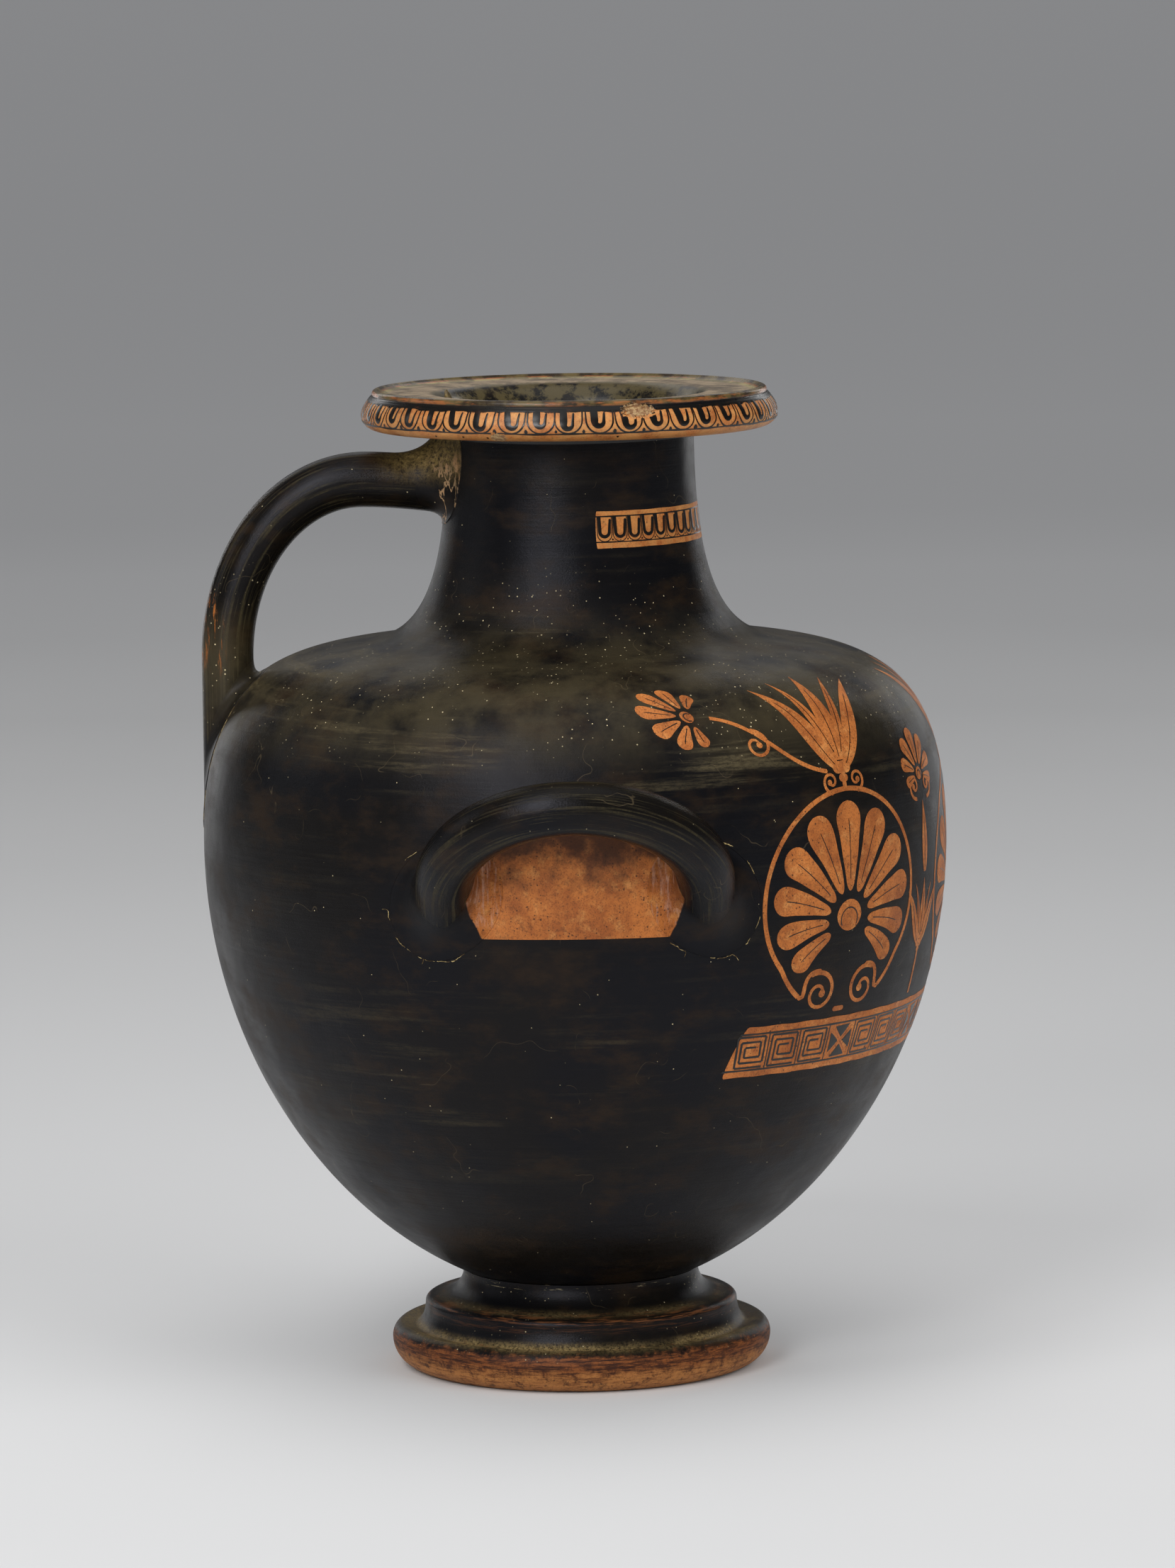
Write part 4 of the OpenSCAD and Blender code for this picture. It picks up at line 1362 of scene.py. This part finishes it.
def crack_lines(name, rim, gap_chance):
    """Pale broken lines where a root's clay has parted from the wall."""
    cracks = Paint(name, wall, 0.05 * MM, 0.1 * MM, cross=0.2 * MM)
    closed = np.concatenate([rim, rim[:1]])
    angle = np.unwrap(np.arctan2(closed[:, 0], -closed[:, 1]))
    centre = angle.mean()
    s = np.array([wall.length_at(z) for z in closed[:, 2]])
    r = np.array([wall.radius_at(z) for z in closed[:, 2]])
    line, at = evenly(np.column_stack([(angle - centre) * r, s]), 0.7 * MM)
    across = np.abs(np.cos(centre + line[:, 0] / BELLY_R) * BELLY_R)
    on_field = (across < FIELD_HALF) & (line[:, 1] > wall.length_at(FIELD_LOW - 1 * MM))
    phases = [draw.uniform(0, 6.3) for _ in range(4)]
    sway = 0.5 * np.sin(at / (7 * MM) + phases[0]) + 0.25 * np.sin(at / (2.7 * MM) + phases[1])
    rise = 0.4 * np.sin(at / (5 * MM) + phases[2]) + 0.25 * np.sin(at / (1.9 * MM) + phases[3])
    line = line + np.column_stack([sway, rise]) * MM
    line += np.array([[draw.gauss(0, 0.12), draw.gauss(0, 0.12)] for _ in line]) * MM
    i = 0
    while i < len(line) - 4:
        run = draw.randint(4, 12)
        part = line[i:i + run]
        if len(part) > 3 and draw.random() > gap_chance and not on_field[i:i + run].any():
            cracks.stroke(centre, part, draw.uniform(0.16, 0.42) * MM, 2.0, 2.0, step=0.5 * MM, wobble=0.35)
            if draw.random() < 0.25:
                off = np.array([draw.uniform(-3, 3), draw.uniform(-3, 3)]) * MM
                branch = [part[-1], part[-1] + 0.5 * off + 0.3 * MM, part[-1] + off]
                cracks.stroke(centre, branch, 0.2 * MM, 1.5, 3.0, step=0.5 * MM, wobble=0.3)
        i += run
    cracks.finish(crack_dust, "reserved_clay")


# The turned pieces

def foot_outline():
    widest = 0.66 * STEP_Z
    return outline(
        rounding((REST_R, 0), (FOOT_R, 0), (FOOT_R, widest), 12),
        rounding((FOOT_R, widest), (FOOT_R, STEP_Z), (FOOT_R - 5 * MM, STEP_Z), 12),
        rounding((UPPER_STEP_R + 4.6 * MM, STEP_Z - 1 * MM), (UPPER_STEP_R, STEP_Z - 1 * MM),
                 (UPPER_STEP_R, UPPER_STEP_Z - 2.4 * MM), 14),
        rounding((UPPER_STEP_R, UPPER_STEP_Z - 2.4 * MM), (UPPER_STEP_R, UPPER_STEP_Z),
                 (UPPER_STEP_R - 3.2 * MM, UPPER_STEP_Z), 10),
        rounding((UPPER_STEP_R - 3.2 * MM, UPPER_STEP_Z), (STEM_R, UPPER_STEP_Z + 1.2 * MM),
                 (STEM_R, FOOT_H), 20, 0.62),
        bezier(((STEM_R - 11 * MM, FOOT_H), (STEM_R - 11 * MM, 0.62 * FOOT_H),
                (REST_R - REST_W - 10 * MM, 0.2 * FOOT_H), (REST_R - REST_W, 0)), 24),
    )


def lower_body_outline():
    inside = moved_in(bezier(BELLY, 60), WALL)
    start = inside[8]
    floor = bezier(((0, FOOT_H + 9 * MM), (0.5 * start[0], FOOT_H + 9 * MM),
                    (0.8 * start[0], start[1] - 3 * MM), start), 12)
    inner = inside[8:][inside[8:, 1] < BELLY_Z - 5 * MM]
    return outline([(0, FOOT_H)], lower_wall, [(BELLY_R - WALL, BELLY_Z - 4 * MM)], inner[::-1], floor[::-1])


def upper_body_outline():
    whole = outline(bezier(SHOULDER, 50), bezier(NECK, 40))
    return outline(upper_wall, moved_in(whole, WALL)[::-1], [(BELLY_R - WALL, BELLY_Z - 4 * MM)])


def mouth_face():
    """The outer side of the lip, from its lower edge to the groove under the rim."""
    lip_h = JAR_H - LIP_Z
    widest = LIP_Z + 0.34 * lip_h
    top = np.array((RIM_R, JAR_H - 2.4 * MM))
    return outline(
        rounding((LIP_R - 6 * MM, LIP_Z), (LIP_R, LIP_Z), (LIP_R, widest), 14),
        bezier(((LIP_R, widest), (LIP_R, LIP_Z + 0.55 * lip_h), top + np.array((1.6, -2.2)) * MM, top), 22),
    )


def mouth_outline(face):
    shelf_z = JAR_H - 1.7 * MM
    half_rim = 2.2 * MM
    return outline(
        rounding((NECK_R - INSET, NECK_Z), (NECK_R, LIP_Z), (NECK_R + 3.5 * MM, LIP_Z), 8, 0.75),
        face,
        rounding((RIM_R - 0.3 * MM, JAR_H - 2.2 * MM), (RIM_R + 0.3 * MM, JAR_H),
                 (RIM_R - half_rim, JAR_H), 10),
        rounding((RIM_R - half_rim, JAR_H), (RIM_R - 2 * half_rim, shelf_z),
                 (RIM_R - 3 * half_rim, shelf_z), 12, 0.7),
        bezier(((OPENING_R + 4 * MM, shelf_z), (OPENING_R, shelf_z),
                (NECK_R - WALL + 1.5 * MM, shelf_z - 5 * MM), (NECK_R - WALL, NECK_Z)), 24),
    )


# Stage, lights and camera

CAMERA_PLACE = (-3100 * MM, -5.2 * MM, 612 * MM)
CAMERA_PITCH = math.radians(6.99)
CAMERA_ROLL = math.radians(0.75)
PHOTO_H = 2212
FOCAL_PIXELS = 11100  # in a picture PHOTO_H pixels high
SENSOR_H = 36.0
FLOOR_R = 60.0

# Greys of the floor at distances from the jar, in millimetres: pale paper with painted shade that makes it
# darker in the middle distance, and painted light that makes it lighter far off
PAPER_GREY_AND_SHADE = [
    (0, 219), (200, 217), (360, 212), (550, 208), (750, 204), (1000, 200), (1260, 195), (1560, 188),
    (2000, 182), (2320, 182), (3360, 208), (4900, 218), (7400, 221), (12000, 224), (23000, 226),
]


def floor_material():
    """Pale paper, with painted shade that makes it a little darker in the middle distance and painted light
    that makes it lighter far off.
    """
    n = Nodes("floor_paper_and_painted_shade")
    base = colour(*[PAPER_GREY_AND_SHADE[0][1]] * 3)
    for (start, _), (end, grey) in zip(PAPER_GREY_AND_SHADE, PAPER_GREY_AND_SHADE[1:]):
        base = n.mix(n.ease(n.r, start, end, kind="LINEAR"), base, colour(grey, grey, grey))
    return n.finish(base, 0.9, [], Specular_IOR_Level=0.1)


def add_floor():
    rings = [0.2, 0.5, 1, 2, 4, 8, 16, 32, FLOOR_R]
    sides = 96
    angle = np.arange(sides) * 2 * math.pi / sides
    circle = np.column_stack([np.sin(angle), -np.cos(angle), np.zeros(sides)])
    verts = np.concatenate([r * circle for r in rings])
    faces = [tuple(f) for f in grid_faces(len(rings), sides, closed_columns=True)[:, ::-1]]
    floor = new_piece("floor", verts, faces + [list(range(sides))], smooth=False)
    floor.data.materials.append(floor_material())


AMBIENT = 0.34  # light from all round
AMBIENT_SHINE = 0.05  # and how much of it shows as shine


def add_world():
    world = bpy.data.worlds.new("studio")
    world.use_nodes = True
    bpy.context.scene.world = world
    tree = world.node_tree
    tree.nodes.clear()
    rays = tree.nodes.new("ShaderNodeLightPath")
    seen = tree.nodes.new("ShaderNodeBackground")
    seen.inputs["Color"].default_value = colour(134, 134, 135)
    dim = tree.nodes.new("ShaderNodeMapRange")
    tree.links.new(rays.outputs["Is Glossy Ray"], dim.inputs["Value"])
    dim.inputs["To Min"].default_value = AMBIENT
    dim.inputs["To Max"].default_value = AMBIENT_SHINE
    lit = tree.nodes.new("ShaderNodeBackground")
    lit.inputs["Color"].default_value = (0.96, 0.97, 1.0, 1.0)
    tree.links.new(dim.outputs[0], lit.inputs["Strength"])
    choose = tree.nodes.new("ShaderNodeMixShader")
    out = tree.nodes.new("ShaderNodeOutputWorld")
    tree.links.new(rays.outputs["Is Camera Ray"], choose.inputs[0])
    tree.links.new(lit.outputs[0], choose.inputs[1])
    tree.links.new(seen.outputs[0], choose.inputs[2])
    tree.links.new(choose.outputs[0], out.inputs["Surface"])


def add_lamp(name, azimuth, elevation, distance, size, level, target_z=0.2, shine=True):
    """A soft lamp that looks at the jar. level is how brightly it lights a surface that faces it.
    Without shine it gives light but no highlight."""
    lamp = bpy.data.lights.new(name, "AREA")
    lamp.shape = "RECTANGLE"
    lamp.size, lamp.size_y = size
    lamp.energy = level * math.pi ** 2 * distance ** 2
    light = bpy.data.objects.new(name, lamp)
    light.visible_glossy = shine
    light.visible_camera = False
    bpy.context.scene.collection.objects.link(light)
    azimuth, elevation = math.radians(azimuth), math.radians(elevation)
    away = Vector((
        math.sin(azimuth) * math.cos(elevation),
        -math.cos(azimuth) * math.cos(elevation),
        math.sin(elevation),
    ))
    light.location = Vector((0, 0, target_z)) + distance * away
    light.rotation_euler = (-away).to_track_quat("-Z", "Y").to_euler()


def add_camera():
    forward = Vector((math.cos(CAMERA_PITCH), 0, -math.sin(CAMERA_PITCH)))
    level_right = Vector((0, -1, 0))
    level_up = Vector((math.sin(CAMERA_PITCH), 0, math.cos(CAMERA_PITCH)))
    right = math.cos(CAMERA_ROLL) * level_right - math.sin(CAMERA_ROLL) * level_up
    up = math.sin(CAMERA_ROLL) * level_right + math.cos(CAMERA_ROLL) * level_up
    lens = bpy.data.cameras.new("camera")
    lens.sensor_fit = "VERTICAL"
    lens.sensor_height = SENSOR_H
    lens.lens = FOCAL_PIXELS * SENSOR_H / PHOTO_H
    lens.clip_end = 200
    camera = bpy.data.objects.new("camera", lens)
    bpy.context.scene.collection.objects.link(camera)
    turn = Matrix((right, up, -forward)).transposed().to_4x4()
    camera.matrix_world = Matrix.Translation(CAMERA_PLACE) @ turn
    bpy.context.scene.camera = camera


BODY_SIDES = 512
MOUTH_SIDES = 900  # enough for the edges of its chips


def build_jar():
    gloss = black_gloss("body_gloss")
    side_gloss = black_gloss("side_handle_gloss", reserved_legs, thrown=False)
    back_gloss = black_gloss("back_handle_gloss", worn_back_handle, thrown=False)
    foot = turned("foot_turned", foot_outline(), BODY_SIDES)
    keep(foot, black_gloss("foot_gloss", foot_finish), "black_gloss", "foot")
    keep(turned("lower_body_turned", lower_body_outline(), BODY_SIDES), gloss, "black_gloss", "lower_body")
    upper = turned("upper_body_turned", upper_body_outline(), BODY_SIDES)
    keep(upper, black_gloss("shoulder_gloss", shoulder_dust), "black_gloss", "upper_body")
    mouth = turned("mouth_turned", mouth_outline(mouth_face_points), MOUTH_SIDES, with_chips)
    keep(mouth, mouth_finish(), "reserved_clay", "mouth")
    rod_piece, clay = side_handle_pieces()
    for side, flip in (("left", 1), ("right", -1)):
        piece = rod_piece if flip == 1 else mirrored("right_handle_rod", rod_piece, flip_x=-1)
        keep(piece, side_gloss, "black_gloss", side + "_handle")
        for end, turn in (("front", 1), ("back", -1)):
            name = f"{side}_handle_{end}_root"
            piece = clay if (flip, turn) == (1, 1) else mirrored(name + "_clay", clay, flip, turn)
            keep(piece, side_gloss, "black_gloss", name)
    handle, upper, lower = back_handle_pieces()
    keep(handle, back_gloss, "black_gloss", "back_handle")
    keep(upper, back_gloss, "black_gloss", "back_handle_upper_root")
    keep(lower, back_gloss, "black_gloss", "back_handle_lower_root")


mouth_face_points = mouth_face()
lip_face = Profile(mouth_face_points)
clay_paint, line_paint, thin_paint = reserved_clay(), painted_line(), diluted_line()
# panel_clay carries painted shade at the top of each side handle's field
panel_paint, crack_dust = reserved_clay("panel_clay", painted_shade_top), pale_dust()
neck_paint = reserved_clay("neck_clay", warmer)
build_jar()
lip_ovolo()
neck_ovolo()
meander_band()
front_flowers()
reserved_panel("left_reserved_panel", -math.pi / 2)
reserved_panel("right_reserved_panel", math.pi / 2)
front_rim = rims["left_handle_front_root_clay"]
for side, flip_x in (("left", 1), ("right", -1)):
    for end, flip_y in (("front", 1), ("back", -1)):
        crack_lines(f"{side}_{end}_root_cracks", front_rim * (flip_x, flip_y, 1), 0.35)
crack_lines("back_lower_root_cracks", rims["back_handle_lower_root_clay"], 0.3)

add_floor()
add_world()
add_lamp("key", -113, 23, 2.4, (0.8, 0.8), 0.40, target_z=0.22)
add_lamp("key_high", -124, 48, 2.2, (0.7, 0.7), 0.20, target_z=0.25)
add_lamp("top", 270, 82, 2.6, (2.4, 2.4), 0.16)
add_lamp("top_fill", 0, 88, 2.8, (2.4, 2.4), 0.14, shine=False)
add_lamp("fill", -40, 28, 2.8, (2.0, 2.0), 0.40, shine=False)
add_lamp("far_fill", 95, 36, 3.0, (2.2, 1.4), 0.09)
add_lamp("left_strip", 172, 22, 2.4, (0.4, 1.2), 0.05, target_z=0.25)
add_lamp("rim_left", 118, 10, 2.6, (0.3, 1.6), 0.06, target_z=0.3)
add_lamp("rim_right", 62, 10, 2.6, (0.3, 1.6), 0.07, target_z=0.3)
add_camera()
bpy.context.scene.view_settings.view_transform = "Standard"
